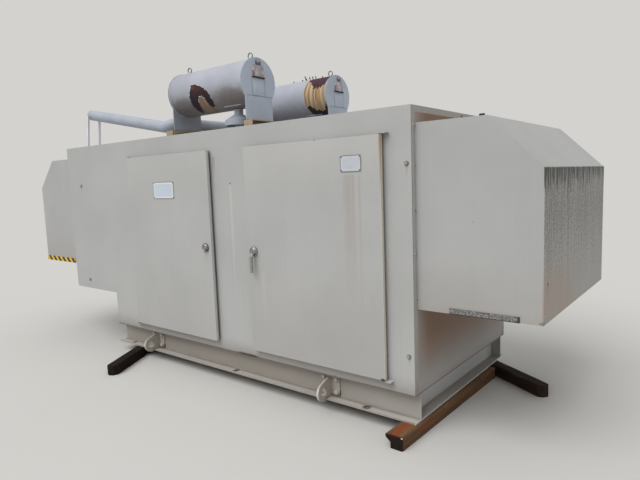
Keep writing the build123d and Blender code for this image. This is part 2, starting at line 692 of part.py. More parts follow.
with BuildPart() as pipe_posts:
    fall = (PIPE_END_RISE - KNEE_RISE) / (KNEE_X - PIPE_END_X)
    lean = tan(radians(POST_LEAN))
    foot_x = PIPE_END_X - POST_FOOT_OUT
    post_h = (PIPE_END_RISE + fall * POST_FOOT_OUT) / (1 + fall * lean)
    for side in (-1, 1):
        back_y = PIPE_Y + side * (PIPE_R + POST_PLAY + POST_BAR / 2) + POST_BAR / 2
        with BuildSketch(Plane.XZ.offset(-back_y)):
            with BuildLine():
                Polyline(
                    (foot_x - POST_BAR / 2, ROOF_Z), (foot_x + POST_BAR / 2, ROOF_Z),
                    (foot_x + lean * post_h + POST_BAR / 2, ROOF_Z + post_h),
                    (foot_x + lean * post_h - POST_BAR / 2, ROOF_Z + post_h), close=True)
            make_face()
        extrude(amount=POST_BAR)
keep(pipe_posts, "pipe_posts")
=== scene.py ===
"""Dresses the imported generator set: weathered paint, timber and metal finishes, seals, bolts and welds.

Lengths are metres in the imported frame: +X right along the housing, +Y to the back, +Z up.
Places in stains and outlines are millimetres, in the same frame.
"""
from math import cos, pi, radians, sin

import bmesh
import bpy
from bpy.props import FloatProperty, FloatVectorProperty, IntProperty, PointerProperty
from mathutils import Matrix, Vector, noise
from mathutils.geometry import delaunay_2d_cdt


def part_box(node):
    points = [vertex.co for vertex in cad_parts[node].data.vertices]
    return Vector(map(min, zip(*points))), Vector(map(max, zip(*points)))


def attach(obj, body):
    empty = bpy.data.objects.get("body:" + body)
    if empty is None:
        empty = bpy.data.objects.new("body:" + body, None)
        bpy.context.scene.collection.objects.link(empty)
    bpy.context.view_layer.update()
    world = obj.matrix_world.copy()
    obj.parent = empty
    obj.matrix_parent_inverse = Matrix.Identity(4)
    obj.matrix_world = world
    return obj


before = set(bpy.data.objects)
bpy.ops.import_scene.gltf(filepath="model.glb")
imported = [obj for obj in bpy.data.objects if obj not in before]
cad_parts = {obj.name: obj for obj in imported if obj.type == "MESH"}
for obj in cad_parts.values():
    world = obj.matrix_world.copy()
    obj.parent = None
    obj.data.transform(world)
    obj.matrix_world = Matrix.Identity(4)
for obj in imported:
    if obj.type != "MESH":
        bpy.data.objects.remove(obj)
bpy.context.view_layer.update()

bl_info = {
    "name": "Generator Set Dressing",
    "version": (1, 0, 0),
    "blender": (4, 5, 0),
    "location": "3D View > Sidebar > Generator",
    "description": "Finishes and small fittings of a housed generator set on a skid",
    "category": "Object",
}

MM = 0.001

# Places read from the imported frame
LEFT_DOOR_LOW, LEFT_DOOR_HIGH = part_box("left_door")
RIGHT_DOOR_LOW, RIGHT_DOOR_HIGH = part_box("right_door")
SKID_LOW, SKID_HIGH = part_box("skid_front")
FRONT_Y, BACK_Y = [corner.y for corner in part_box("roof")]
FLOOR_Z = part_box("front_wall_right")[0].z
LEAF_FRONT_Y = LEFT_DOOR_LOW.y
# The leaf's back face stands 14 mm off the wall, and the seal sits on it
LEAF_BACK_Y = FRONT_Y - 14 * MM

# Middles of the lifting lugs and of the anchor holes along the skid, in millimetres
LUG_XS = (-750, 1395)
ANCHOR_XS = (-1130, 395, 1730)
# Bolts through the front and back walls: (x, z) in millimetres
WALL_BOLTS = ((-1885, 1727), (-1860, 700), (2101, 1783), (2096, 543))
# How far to the back of its middle each end plate's fittings sit, in millimetres
PLATE_SHIFTS = {"front": 0, "back": 18}
# How far each bearer's length is turned from +X; the grain of the timber follows it
SQUARE_TURN = radians(-91.2)
BACK_TURN = radians(-31)
LEFT_TURN = radians(-60.4)
# Half size in millimetres of a spot that has no end along an axis
ENDLESS = 9000

# The photograph's viewpoint, solved from corners of the housing and the right hood
CAMERA_PLACE = (3.7304, -3.7591, 1.7028)
CAMERA_YAW = radians(128.475)
CAMERA_PITCH = radians(-6.489)
CAMERA_ROLL = radians(-2.083)


def linear(code):
    """A colour written as an sRGB hex code, as the linear numbers that Blender works in."""
    parts = [int(code[at:at + 2], 16) / 255 for at in (1, 3, 5)]
    return tuple(part / 12.92 if part <= 0.04045 else ((part + 0.055) / 1.055) ** 2.4 for part in parts)


def shade(colour, factor=1.0):
    """A hex code or linear colour, made lighter or darker, as the four numbers that a socket takes."""
    parts = linear(colour) if isinstance(colour, str) else colour[:3]
    return (*[min(1.0, part * factor) for part in parts], 1.0)


def colour_property(name, description, code):
    """A colour that a user may change."""
    return FloatVectorProperty(name=name, description=description, subtype="COLOR", size=3,
                               min=0.0, max=1.0, default=linear(code))


def size_property(name, description, millimetres):
    """A length that a user may change."""
    return FloatProperty(name=name, description=description, subtype="DISTANCE", unit="LENGTH",
                         min=0.0, default=millimetres * MM)


class FinishColours(bpy.types.PropertyGroup):
    """Colours of the paints, timbers and rubbers"""
    housing: colour_property("Housing paint", "Pale grey enamel on the walls, doors and hoods", "#ABABAA")
    skid: colour_property("Skid paint", "Grey enamel on the skid", "#948E86")
    silencer: colour_property("Silencer paint", "Grey heat paint on the silencer drums", "#A3A6B1")
    end_plate: colour_property("End plate paint", "Bluer heat paint on the silencers' ends", "#B5BFCE")
    pipe: colour_property("Pipe paint", "Grey heat paint on the tail pipe", "#A0A6B1")
    cream: colour_property("Rail paint", "Old cream paint on the roof rails", "#A29176")
    square_timber: colour_property("Square timber", "Weathered face of the square bearer", "#6C503A")
    dark_timber: colour_property("Dark timber", "Tarred face of the bearers lying askew", "#30241E")
    dirt: colour_property("Dirt", "Brown road dust low on the walls and skid", "#7D6F60")
    mould: colour_property("Mould", "Green-black growth on the hood ends", "#33342C")
    stripe: colour_property("Stripe", "Yellow of the hazard guard", "#D6AE22")
    floor: colour_property("Floor", "Studio floor", "#BFBEBA")
    backdrop: colour_property("Backdrop", "Backdrop behind and around the floor", "#D3D2CF")


class FittingSizes(bpy.types.PropertyGroup):
    """Sizes of the small fittings"""
    seal_width: size_property("Seal width", "Width of the rubber seal behind each door leaf", 13)
    seal_inset: size_property("Seal inset", "Distance from the leaf's edge to the seal", 9)
    seal_thickness: size_property("Seal thickness", "How far the seal stands off the leaf", 10.5)
    wall_bolt: size_property("Wall bolt", "Size across flats of the hexagon heads on the walls", 17)
    lug_bolt: size_property("Lug bolt", "Size across flats of the hexagon heads on the lugs", 32)
    screw_head: size_property("Screw head", "Diameter of the plate screws", 9)
    weld_radius: size_property("Weld size", "Radius of the weld beads", 5)
    scale_thickness: size_property("Scale thickness", "Thickness of the burnt scale on the silencers", 1.2)


class StageSettings(bpy.types.PropertyGroup):
    """Camera and light"""
    lens: FloatProperty(name="Lens", description="Focal length of the camera in millimetres",
                        default=29.82, min=1.0, subtype="DISTANCE_CAMERA", unit="CAMERA")
    horizon: FloatProperty(name="Horizon light", description="Strength of the sky near the horizon",
                           default=0.25, min=0.0)
    zenith: FloatProperty(name="Zenith light", description="Strength of the sky straight above",
                          default=0.95, min=0.0)
    sun: FloatProperty(name="Soft sun", description="Strength of the broad light from the front",
                       default=2.1, min=0.0)
    seed: IntProperty(name="Seed", description="Start of the ragged edges' random draws", default=7)


def add_node(tree, kind, sockets=(), out=0, **settings):
    """Add one node, set it up, fill or link its sockets by name or place, and return one output."""
    node = tree.nodes.new("ShaderNode" + kind)
    for name, value in settings.items():
        setattr(node, name, value)
    for name, value in dict(sockets).items():
        if isinstance(value, bpy.types.NodeSocket):
            tree.links.new(value, node.inputs[name])
        else:
            node.inputs[name].default_value = value
    return node.outputs[out]


def start_material(name, roughness, socket=None, value=0.0):
    """A new material with the shader's own sockets set; place is the point on the resting part."""
    material = bpy.data.materials.new(name)
    material.use_nodes = True
    tree = material.node_tree
    shader = tree.nodes["Principled BSDF"]
    shader.inputs["Roughness"].default_value = roughness
    if socket:
        shader.inputs[socket].default_value = value
    return material, tree, shader, add_node(tree, "TexCoord", out="Object")


def close_material(tree, shader, tone, relief, strength, depth):
    """Link the finished colour to the shader, with fine relief of a depth in millimetres."""
    tree.links.new(tone, shader.inputs["Base Color"])
    normal = add_node(tree, "Bump", {"Height": relief, "Strength": strength, "Distance": depth * MM})
    tree.links.new(normal, shader.inputs["Normal"])


def grain(tree, place, sizes, detail=3.0, rough=0.55):
    """Noise whose lumps have a real size in millimetres along X, Y and Z."""
    scaled = add_node(tree, "VectorMath", {0: place, 1: [1000 / size for size in sizes]},
                      operation="MULTIPLY")
    return add_node(tree, "TexNoise", {"Vector": scaled, "Scale": 1.0, "Detail": detail,
                                       "Roughness": rough})


def coat(tree, under, over, pattern, start, full, strength=1.0):
    """Lay one colour over another: none where the pattern is at start, strength where it is at full."""
    cover = add_node(tree, "MapRange", {"Value": pattern, "From Min": start, "From Max": full,
                                        "To Max": strength}, interpolation_type="SMOOTHSTEP")
    return add_node(tree, "Mix", {0: cover, 6: under, 7: over}, 2, data_type="RGBA")


def spot(tree, place, tone, code, centre, half, strength):
    """A ragged spot: solid in the middle and gone past its edge."""
    offset = add_node(tree, "VectorMath", {0: place, 1: [part * MM for part in centre]},
                      operation="SUBTRACT")
    scaled = add_node(tree, "VectorMath", {0: offset, 1: [part * MM for part in half]}, operation="DIVIDE")
    reach = add_node(tree, "VectorMath", {0: scaled}, "Value", operation="LENGTH")
    lump = max(6, 0.8 * min(half[0], half[2]))
    ragged = add_node(tree, "Math", {0: reach, 1: grain(tree, place, (lump, lump, lump))}, operation="ADD")
    return coat(tree, tone, shade(code), ragged, 1.6, 1.0, strength)


def run_down(tree, place, tone, code, top, length, half_width, strength):
    """A stain that starts at a place and runs down from it, wandering a little and fading out."""
    offset = add_node(tree, "VectorMath", {0: place, 1: [part * MM for part in top]}, operation="SUBTRACT")
    size = [half_width * MM, half_width * MM, length * MM]
    scaled = add_node(tree, "VectorMath", {0: offset, 1: size}, operation="DIVIDE")
    flat = add_node(tree, "VectorMath", {0: scaled, 1: (1.0, 1.0, 0.0)}, operation="MULTIPLY")
    aside = add_node(tree, "VectorMath", {0: flat}, "Value", operation="LENGTH")
    wander = grain(tree, place, (14, 14, 160))
    across = add_node(tree, "Math", {0: aside, 1: wander}, operation="ADD")
    height = add_node(tree, "SeparateXYZ", {0: scaled}, "Z")
    fade = add_node(tree, "MapRange", {"Value": height, "From Min": -1.0, "From Max": -0.15})
    start = add_node(tree, "MapRange", {"Value": height, "From Min": 2 / length, "From Max": -4 / length})
    thinned = add_node(tree, "Math", {0: fade, 1: start}, operation="MULTIPLY")
    centre = add_node(tree, "MapRange", {"Value": across, "From Min": 1.5, "From Max": 0.7,
                                         "To Max": strength}, interpolation_type="SMOOTHSTEP")
    cover = add_node(tree, "Math", {0: thinned, 1: centre}, operation="MULTIPLY")
    return add_node(tree, "Mix", {0: cover, 6: tone, 7: shade(code)}, 2, data_type="RGBA")


def past(tree, place, tone, code, axis, start, full, strength, ragged=0):
    """A colour past a line across an axis; ragged is how far the line wanders each way."""
    along = add_node(tree, "SeparateXYZ", {0: place}, axis)
    if ragged:
        wander = grain(tree, place, (60, 60, 30))
        along = add_node(tree, "Math", {0: wander, 1: 2 * ragged * MM, 2: along}, operation="MULTIPLY_ADD")
    return coat(tree, tone, shade(code), along, (start + ragged) * MM, (full + ragged) * MM, strength)


def mould(tree, place, tone, code, face_x, top, depth):
    """Black-green growth under the hood's top edge, running down its end face in thin uneven lines."""
    outward = add_node(tree, "Math", {0: add_node(tree, "SeparateXYZ", {0: place}, "X")},
                       operation="ABSOLUTE")
    on_face = add_node(tree, "MapRange", {"Value": outward, "From Min": (face_x - 6) * MM,
                                          "From Max": (face_x - 2) * MM})
    height = add_node(tree, "SeparateXYZ", {0: place}, "Z")
    down = add_node(tree, "MapRange", {"Value": height, "From Min": top * MM,
                                       "From Max": (top - depth) * MM})
    # The grey film is speckled and faintly lined, and thins from a third of the way down
    speckle = grain(tree, place, (32, 32, 14), rough=0.8)
    lines = grain(tree, place, (24, 24, 700), detail=1.0)
    mottle = add_node(tree, "Math", {0: lines, 1: 0.35, 2: speckle}, operation="MULTIPLY_ADD")
    film = add_node(tree, "MapRange", {"Value": down, "From Min": 1.0, "From Max": 0.3, "To Min": 0.72})
    film = add_node(tree, "Math", {0: film, 1: mottle}, operation="MULTIPLY")
    film = add_node(tree, "Math", {0: film, 1: on_face}, operation="MULTIPLY")
    tone = coat(tree, tone, shade("#605D5A"), film, 0.42, 0.88, 0.85)
    # Drips about 60 mm apart reach down to very different depths, so fewer and fewer pass the limit
    drips = grain(tree, place, (25, 25, 240), detail=2.0)
    clumps = grain(tree, place, (260, 260, 900), detail=1.0)
    dense = add_node(tree, "Math", {0: clumps, 1: 0.2, 2: drips}, operation="MULTIPLY_ADD")
    limit = add_node(tree, "MapRange", {"Value": down, "From Max": 0.3, "To Min": 0.45, "To Max": 0.89})
    excess = add_node(tree, "Math", {0: dense, 1: limit}, operation="SUBTRACT")
    excess = add_node(tree, "Math", {0: excess, 1: on_face}, operation="MULTIPLY")
    tone = coat(tree, tone, shade(code, 2.2), excess, 0.0, 0.06, 0.6)
    return coat(tree, tone, shade(code), excess, 0.04, 0.11, 0.92)


def lay_stains_and_shading(tree, place, tone, stains_and_shading):
    """Lay stains and painted light and shade over a colour in turn: each is a function above, and then the
    facts it asks for.
    """
    for lay, *facts in stains_and_shading:
        tone = lay(tree, place, tone, *facts)
    return tone


def weathered_enamel(name, colour, stains_and_shading=(), rains=1.0, roughness=0.52):
    """Alkyd enamel sprayed on steel sheet: chalked nearly matt, with rain runs and a trace of orange peel."""
    material, tree, shader, place = start_material(name, roughness)
    tone = coat(tree, shade(colour, 0.95), shade(colour, 1.04), grain(tree, place, (700, 700, 700)), 0.3, 0.7)
    tone = coat(tree, tone, shade(colour, 0.88), grain(tree, place, (34, 34, 1100)), 0.52, 0.8, 0.32 * rains)
    tone = coat(tree, tone, shade(colour, 1.1), grain(tree, place, (12, 12, 620)), 0.56, 0.75, 0.24 * rains)
    tone = coat(tree, tone, shade(colour, 0.78), grain(tree, place, (7, 7, 7)), 0.66, 0.8, 0.25)
    tone = lay_stains_and_shading(tree, place, tone, stains_and_shading)
    # Orange peel is about 2 mm from lump to lump; drawn at 6 mm so that it shows
    close_material(tree, shader, tone, grain(tree, place, (6, 6, 6), detail=1.0), 0.12, 0.4)
    return material


def heat_paint(name, colour, stains_and_shading=()):
    """Aluminium-filled heat paint brushed on steel: flat, a little blotched and speckled with soot."""
    material, tree, shader, place = start_material(name, 0.5)
    tone = coat(tree, shade(colour, 0.93), shade(colour, 1.06), grain(tree, place, (200, 200, 200)), 0.3, 0.7)
    fine = grain(tree, place, (9, 9, 9))
    tone = coat(tree, tone, shade(colour, 0.78), fine, 0.6, 0.8, 0.3)
    tone = lay_stains_and_shading(tree, place, tone, stains_and_shading)
    close_material(tree, shader, tone, fine, 0.15, 0.5)
    return material


def burnt_scale(name, colours, stains_and_shading=()):
    """Mill scale and rust where the paint burnt off: maroon-black, rough and blistered."""
    material, tree, shader, place = start_material(name, 0.85)
    lumps = grain(tree, place, (34, 34, 34))
    blisters = grain(tree, place, (7, 7, 7))
    tone = coat(tree, shade(colours[0]), shade(colours[1]), lumps, 0.36, 0.66)
    tone = lay_stains_and_shading(tree, place, tone, stains_and_shading)
    tone = coat(tree, tone, shade(colours[2]), blisters, 0.6, 0.75, 0.4)
    relief = add_node(tree, "Math", {0: lumps, 1: blisters}, operation="ADD")
    close_material(tree, shader, tone, relief, 0.6, 1.5)
    return material


def scorched_primer(name, widths, colours, stains_and_shading=()):
    """Old primer scorched in stripes round the drum: cream, tan and rust brown, dry and matt."""
    material, tree, shader, place = start_material(name, 0.88)
    wide = grain(tree, place, widths)
    narrow = grain(tree, place, [width * 0.45 for width in widths], detail=2.0)
    fine = grain(tree, place, (5, 5, 5))
    tone = coat(tree, shade(colours[0]), shade(colours[1]), wide, 0.42, 0.56)
    tone = coat(tree, tone, shade(colours[2]), narrow, 0.54, 0.62, 0.85)
    tone = coat(tree, tone, shade(colours[3]), wide, 0.46, 0.34, 0.7)
    tone = lay_stains_and_shading(tree, place, tone, stains_and_shading)
    tone = coat(tree, tone, shade(colours[2], 0.6), fine, 0.62, 0.78, 0.4)
    close_material(tree, shader, tone, fine, 0.4, 0.8)
    return material


def sawn_timber(name, colour, turn, worn, worn_cover, stains_and_shading=()):
    """Sawn hardwood left in the weather: long open grain, dark checks and a paler torn skin."""
    material, tree, shader, place = start_material(name, 0.85, "Specular IOR Level", 0.15)
    lengthwise = add_node(tree, "VectorRotate", {"Vector": place, "Angle": -turn}, rotation_type="Z_AXIS")
    fibre = grain(tree, lengthwise, (420, 7, 7), detail=5.0, rough=0.65)
    checks = grain(tree, lengthwise, (260, 5, 5), detail=1.0)
    tone = coat(tree, shade(colour, 0.8), shade(colour, 1.2), grain(tree, lengthwise, (900, 24, 24)),
                0.4, 0.7)
    tone = coat(tree, tone, shade(worn), grain(tree, lengthwise, (190, 40, 40)), 0.54, 0.68, worn_cover)
    tone = lay_stains_and_shading(tree, place, tone, stains_and_shading)
    # Fibres and checks come last, so that they show through the stains too
    tone = coat(tree, tone, shade(colour, 0.3), fibre, 0.5, 0.28, 0.6)
    tone = coat(tree, tone, shade(worn, 1.4), fibre, 0.58, 0.76, 0.3)
    tone = coat(tree, tone, shade(colour, 0.25), checks, 0.62, 0.72, 0.85)
    relief = add_node(tree, "Math", {0: fibre, 1: checks}, operation="SUBTRACT")
    close_material(tree, shader, tone, relief, 0.7, 3.0)
    return material


def galvanised_sheet(name):
    """Hot-dip galvanised sheet: dull zinc with spangle of about 15 mm."""
    material, tree, shader, place = start_material(name, 0.42, "Metallic", 0.9)
    spangle = add_node(tree, "TexVoronoi", {"Vector": place, "Scale": 1000 / 15}, "Color")
    grey = add_node(tree, "RGBToBW", {0: spangle})
    tone = coat(tree, shade("#7E8384"), shade("#A4A9AA"), grey, 0.0, 1.0)
    polish = add_node(tree, "MapRange", {"Value": grey, "To Min": 0.36, "To Max": 0.52})
    tree.links.new(polish, shader.inputs["Roughness"])
    close_material(tree, shader, tone, grey, 0.1, 0.2)
    return material


def striped_rubber(name, stripe):
    """Moulded rubber guard with painted slanting stripes 55 mm wide, scuffed through on the edges."""
    material, tree, shader, place = start_material(name, 0.6)
    slant = add_node(tree, "VectorMath", {0: place, 1: (1000 / 110, 0.0, 1000 / 110)}, "Value",
                     operation="DOT_PRODUCT")
    phase = add_node(tree, "Math", {0: slant}, operation="FRACT")
    scuff = grain(tree, place, (12, 12, 12))
    tone = coat(tree, shade("#1F1F1E"), shade(stripe), phase, 0.48, 0.52)
    tone = coat(tree, tone, shade("#5D5A53"), scuff, 0.6, 0.75, 0.6)
    close_material(tree, shader, tone, scuff, 0.3, 0.8)
    return material


def sponge_rubber(name, pale, dark, stains_and_shading=()):
    """Closed-cell sponge rubber gone grey: matt, with open pores of about 3 mm drawn at 10 mm."""
    material, tree, shader, place = start_material(name, 0.9)
    pores = grain(tree, place, (10, 10, 10), detail=2.0)
    tone = coat(tree, shade(dark), shade(pale), pores, 0.36, 0.6)
    tone = coat(tree, tone, shade("#A3A29E"), pores, 0.6, 0.7, 0.6)
    tone = lay_stains_and_shading(tree, place, tone, stains_and_shading)
    close_material(tree, shader, tone, pores, 0.6, 1.5)
    return material


def plated_steel(name, pale, dark, roughness=0.28, stains_and_shading=()):
    """Plated steel gone dull: bright where it faces the sky, clouded by a fine film."""
    material, tree, shader, place = start_material(name, roughness, "Metallic", 1.0)
    film = grain(tree, place, (9, 9, 9))
    tone = coat(tree, shade(dark), shade(pale), film, 0.35, 0.65)
    tone = lay_stains_and_shading(tree, place, tone, stains_and_shading)
    polish = add_node(tree, "MapRange", {"Value": film, "To Min": roughness - 0.08,
                                         "To Max": roughness + 0.12})
    tree.links.new(polish, shader.inputs["Roughness"])
    close_material(tree, shader, tone, film, 0.1, 0.2)
    return material


def rusty_zinc(name, pale):
    """Zinc-plated bolt steel: dull grey, with brown rust breaking through in small patches."""
    material, tree, shader, place = start_material(name, 0.45, "Metallic", 0.6)
    film = grain(tree, place, (8, 8, 8))
    tone = coat(tree, shade(pale), shade("#7C5238"), film, 0.58, 0.7, 0.8)
    close_material(tree, shader, tone, film, 0.3, 0.3)
    return material


def black_rubber(name):
    """Black rubber, extruded or moulded: matt and gone slightly grey with dust."""
    material, tree, shader, place = start_material(name, 0.7)
    dust = grain(tree, place, (16, 16, 16))
    tone = coat(tree, shade("#171716"), shade("#3D3B37"), dust, 0.4, 0.75)
    close_material(tree, shader, tone, dust, 0.2, 0.3)
    return material


def printed_plate(name, node, edge, middle, border):
    """Enamelled aluminium plate: satin, with a painted shadow as a thin dark line round its edge and a
    faintly tinted middle.
    """
    low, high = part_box(node)
    half = (high - low) / 2
    material, tree, shader, place = start_material(name, 0.35, "Metallic", 0.2)
    offset = add_node(tree, "VectorMath", {0: place, 1: (low + high) / 2}, operation="SUBTRACT")
    size = add_node(tree, "VectorMath", {0: offset}, operation="ABSOLUTE")
    inside = add_node(tree, "VectorMath", {0: half, 1: size}, operation="SUBTRACT")
    parts = add_node(tree, "SeparateXYZ", {0: inside}).node.outputs
    inward = add_node(tree, "Math", {0: parts["X"], 1: parts["Z"]}, operation="MINIMUM")
    film = grain(tree, place, (26, 26, 26))
    tone = coat(tree, shade(edge), shade(middle), inward, 14 * MM, 24 * MM)
    tone = coat(tree, tone, shade("#8A857C"), film, 0.58, 0.8, 0.3)
    # Painted shadow: a thin dark line round the plate's edge
    tone = coat(tree, tone, shade(border), inward, 8 * MM, 4 * MM, 0.8)
    close_material(tree, shader, tone, film, 0.1, 0.2)
    return material


def new_piece(name, bm, material, body="housing", smooth=35):
    """Turn built geometry into a piece that rides on a body."""
    bmesh.ops.recalc_face_normals(bm, faces=bm.faces)
    mesh = bpy.data.meshes.new(name)
    bm.to_mesh(mesh)
    bm.free()
    mesh.shade_smooth()
    mesh.set_sharp_from_angle(angle=radians(smooth))
    mesh.materials.append(material)
    piece = bpy.data.objects.new(name, mesh)
    bpy.context.scene.collection.objects.link(piece)
    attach(piece, body)
    return piece


def finish_nodes(material, *names):
    """Give carried-over nodes one material."""
    for name in names:
        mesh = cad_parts[name].data
        mesh.materials.clear()
        mesh.materials.append(material)


def in_metres(points):
    """An outline written in millimetres, as metres."""
    return [(first * MM, second * MM) for first, second in points]


def lathe(bm, profile, at, outward, steps=20):
    """Turn an outline of (radius, height) points about the line through a place."""
    turn = Vector(outward).to_track_quat("Z", "Y").to_matrix().to_4x4()
    turn.translation = at
    rings = []
    for radius, height in profile:
        count = steps if radius > 0 else 1
        rings.append([bm.verts.new(turn @ Vector((radius * cos(2 * pi * step / steps),
                                                  radius * sin(2 * pi * step / steps), height)))
                      for step in range(count)])
    for lower, upper in zip(rings, rings[1:]):
        for step in range(steps):
            corners = [lower[step % len(lower)], lower[(step + 1) % len(lower)],
                       upper[(step + 1) % len(upper)], upper[step % len(upper)]]
            corners = list(dict.fromkeys(corners))
            if len(corners) > 2:
                bm.faces.new(corners)


def hex_bolt(bm, at, outward, flats):
    """A hexagon head with its washer, sitting on a face."""
    washer = flats * 0.75
    base = flats * 0.1
    corner = flats / 2 / cos(pi / 6)
    rim = flats * 0.62
    top = flats * 0.72
    lathe(bm, [(0, 0), (washer, 0), (washer, base), (0, base)], at, outward, 24)
    lathe(bm, [(0, base), (corner, base), (corner, rim), (corner * 0.82, top), (0, top)], at, outward, 6)


def domed_head(bm, at, outward, diameter):
    """A low domed screw or rivet head."""
    radius = diameter / 2
    arc = [(radius * cos(step * pi / 10), radius * 0.55 * sin(step * pi / 10)) for step in range(5)]
    lathe(bm, [(0, 0)] + arc + [(0, radius * 0.55)], at, outward, 18)


def tube(bm, points, radius, steps=8, closed=False, ripple=0.0, pitch=0.012):
    """A round bar or weld bead along points; ripple swells it at each pitch."""
    count = len(points)
    rings = []
    travelled = 0.0
    side = None
    for at in range(count):
        before = points[at - 1] if (at or closed) else points[at]
        after = points[(at + 1) % count] if (at < count - 1 or closed) else points[at]
        direction = (after - before).normalized()
        if side is None:
            side = direction.orthogonal().normalized()
        side = (side - direction * side.dot(direction)).normalized()
        other = direction.cross(side)
        if at:
            travelled += (points[at] - points[at - 1]).length
        swell = radius * (1 + ripple * sin(2 * pi * travelled / pitch))
        rings.append([bm.verts.new(points[at] + swell * (side * cos(2 * pi * step / steps)
                                                         + other * sin(2 * pi * step / steps)))
                      for step in range(steps)])
    spans = list(zip(rings, rings[1:] + rings[:1])) if closed else list(zip(rings, rings[1:]))
    for first, second in spans:
        for step in range(steps):
            bm.faces.new((first[step], first[(step + 1) % steps], second[(step + 1) % steps], second[step]))
    if not closed:
        bm.faces.new(rings[0])
        bm.faces.new(rings[-1])


def straight(start, end, spacing=0.006):
    """Points along a straight line."""
    start, end = Vector(start), Vector(end)
    count = max(2, int((end - start).length / spacing))
    return [start.lerp(end, step / count) for step in range(count + 1)]


def box_between(bm, low, high, bevel=0.0):
    """A block between two corners, with its edges eased by the bevel."""
    low, high = Vector(low), Vector(high)
    made = bmesh.ops.create_cube(bm, size=1.0)["verts"]
    bmesh.ops.scale(bm, vec=high - low, verts=made)
    bmesh.ops.translate(bm, vec=(low + high) / 2, verts=made)
    if bevel:
        edges = list(dict.fromkeys(edge for vert in made for edge in vert.link_edges))
        bmesh.ops.bevel(bm, geom=edges, offset=bevel, segments=2, profile=0.5, affect="EDGES")


def rounded_loop(x0, x1, z0, z1, radius, corner_steps=5):
    """Corner points of a rounded rectangle in X and Z."""
    loop = []
    for cx, cz, start in ((x1 - radius, z1 - radius, 0), (x0 + radius, z1 - radius, 90),
                          (x0 + radius, z0 + radius, 180), (x1 - radius, z0 + radius, 270)):
        for step in range(corner_steps + 1):
            angle = radians(start + 90 * step / corner_steps)
            loop.append((cx + radius * cos(angle), cz + radius * sin(angle)))
    return loop


def flat_ring(bm, inner, outer, y_base, y_top):
    """A flat frame between two matching loops, standing from one Y to another."""
    loops = []
    for outline, y in ((outer, y_base), (outer, y_top), (inner, y_top), (inner, y_base)):
        loops.append([bm.verts.new((x, y, z)) for x, z in outline])
    for first, second in zip(loops, loops[1:] + loops[:1]):
        count = len(first)
        for at in range(count):
            bm.faces.new((first[at], first[(at + 1) % count], second[(at + 1) % count], second[at]))


def on_drum(drum_low, drum_high, x, angle, lift):
    """A place on a drum's skin: angle in degrees from the top towards the front."""
    radius = (drum_high.z - drum_low.z) / 2 + lift
    return Vector((x, (drum_low.y + drum_high.y) / 2 - radius * sin(radians(angle)),
                   (drum_low.z + drum_high.z) / 2 + radius * cos(radians(angle))))


def ragged_outline(outline, arc, seed, spacing=4 * MM, depth=9 * MM):
    """An outline of (x, angle) points, cut up finely and frayed; returned flat, in metres."""
    flat = [Vector((x * MM, angle * arc)) for x, angle in outline]
    frayed = []
    for start, end in zip(flat, flat[1:] + flat[:1]):
        count = max(1, int((end - start).length / spacing))
        normal = Vector((end.y - start.y, start.x - end.x)).normalized()
        for step in range(count):
            at = start.lerp(end, step / count)
            push = noise.noise(Vector((at.x * 60, at.y * 60, seed))) * depth
            push += noise.noise(Vector((at.x * 170, at.y * 170, seed + 9))) * depth * 0.6
            frayed.append(at + normal * push)
    return frayed


def skin_patch(bm, drum_low, drum_high, outline, thickness, seed):
    """A thin ragged patch that lies on a drum's skin; returns the places round its edge."""
    arc = radians(1) * (drum_high.z - drum_low.z) / 2
    edge = ragged_outline(outline, arc, seed)
    spacing = 10 * MM
    xs = [point.x for point in edge]
    ys = [point.y for point in edge]
    inside = []
    for column in range(int((max(xs) - min(xs)) / spacing) + 1):
        for row in range(int((max(ys) - min(ys)) / spacing) + 1):
            inside.append(Vector((min(xs) + (column + 0.5) * spacing, min(ys) + (row + 0.5) * spacing)))
    loop = list(range(len(edge)))
    points, _, faces, _, _, _ = delaunay_2d_cdt(edge + inside, [], [loop], 1, 1e-6)
    used = sorted({index for face in faces for index in face})
    upper = {}
    lower = {}
    for index in used:
        point = points[index]
        swell = noise.noise(Vector((point.x * 60, point.y * 60, seed + 4))) * thickness * 0.3
        upper[index] = bm.verts.new(on_drum(drum_low, drum_high, point.x, point.y / arc, thickness + swell))
        lower[index] = bm.verts.new(on_drum(drum_low, drum_high, point.x, point.y / arc, -0.5 * MM))
    border = {}
    for face in faces:
        bm.faces.new([upper[index] for index in face])
        bm.faces.new([lower[index] for index in reversed(face)])
        for first, second in zip(face, face[1:] + face[:1]):
            if (second, first) in border:
                del border[(second, first)]
            else:
                border[(first, second)] = True
    for first, second in border:
        bm.faces.new((upper[second], upper[first], lower[first], lower[second]))
    return [on_drum(drum_low, drum_high, point.x, point.y / arc, thickness * 0.6) for point in edge]


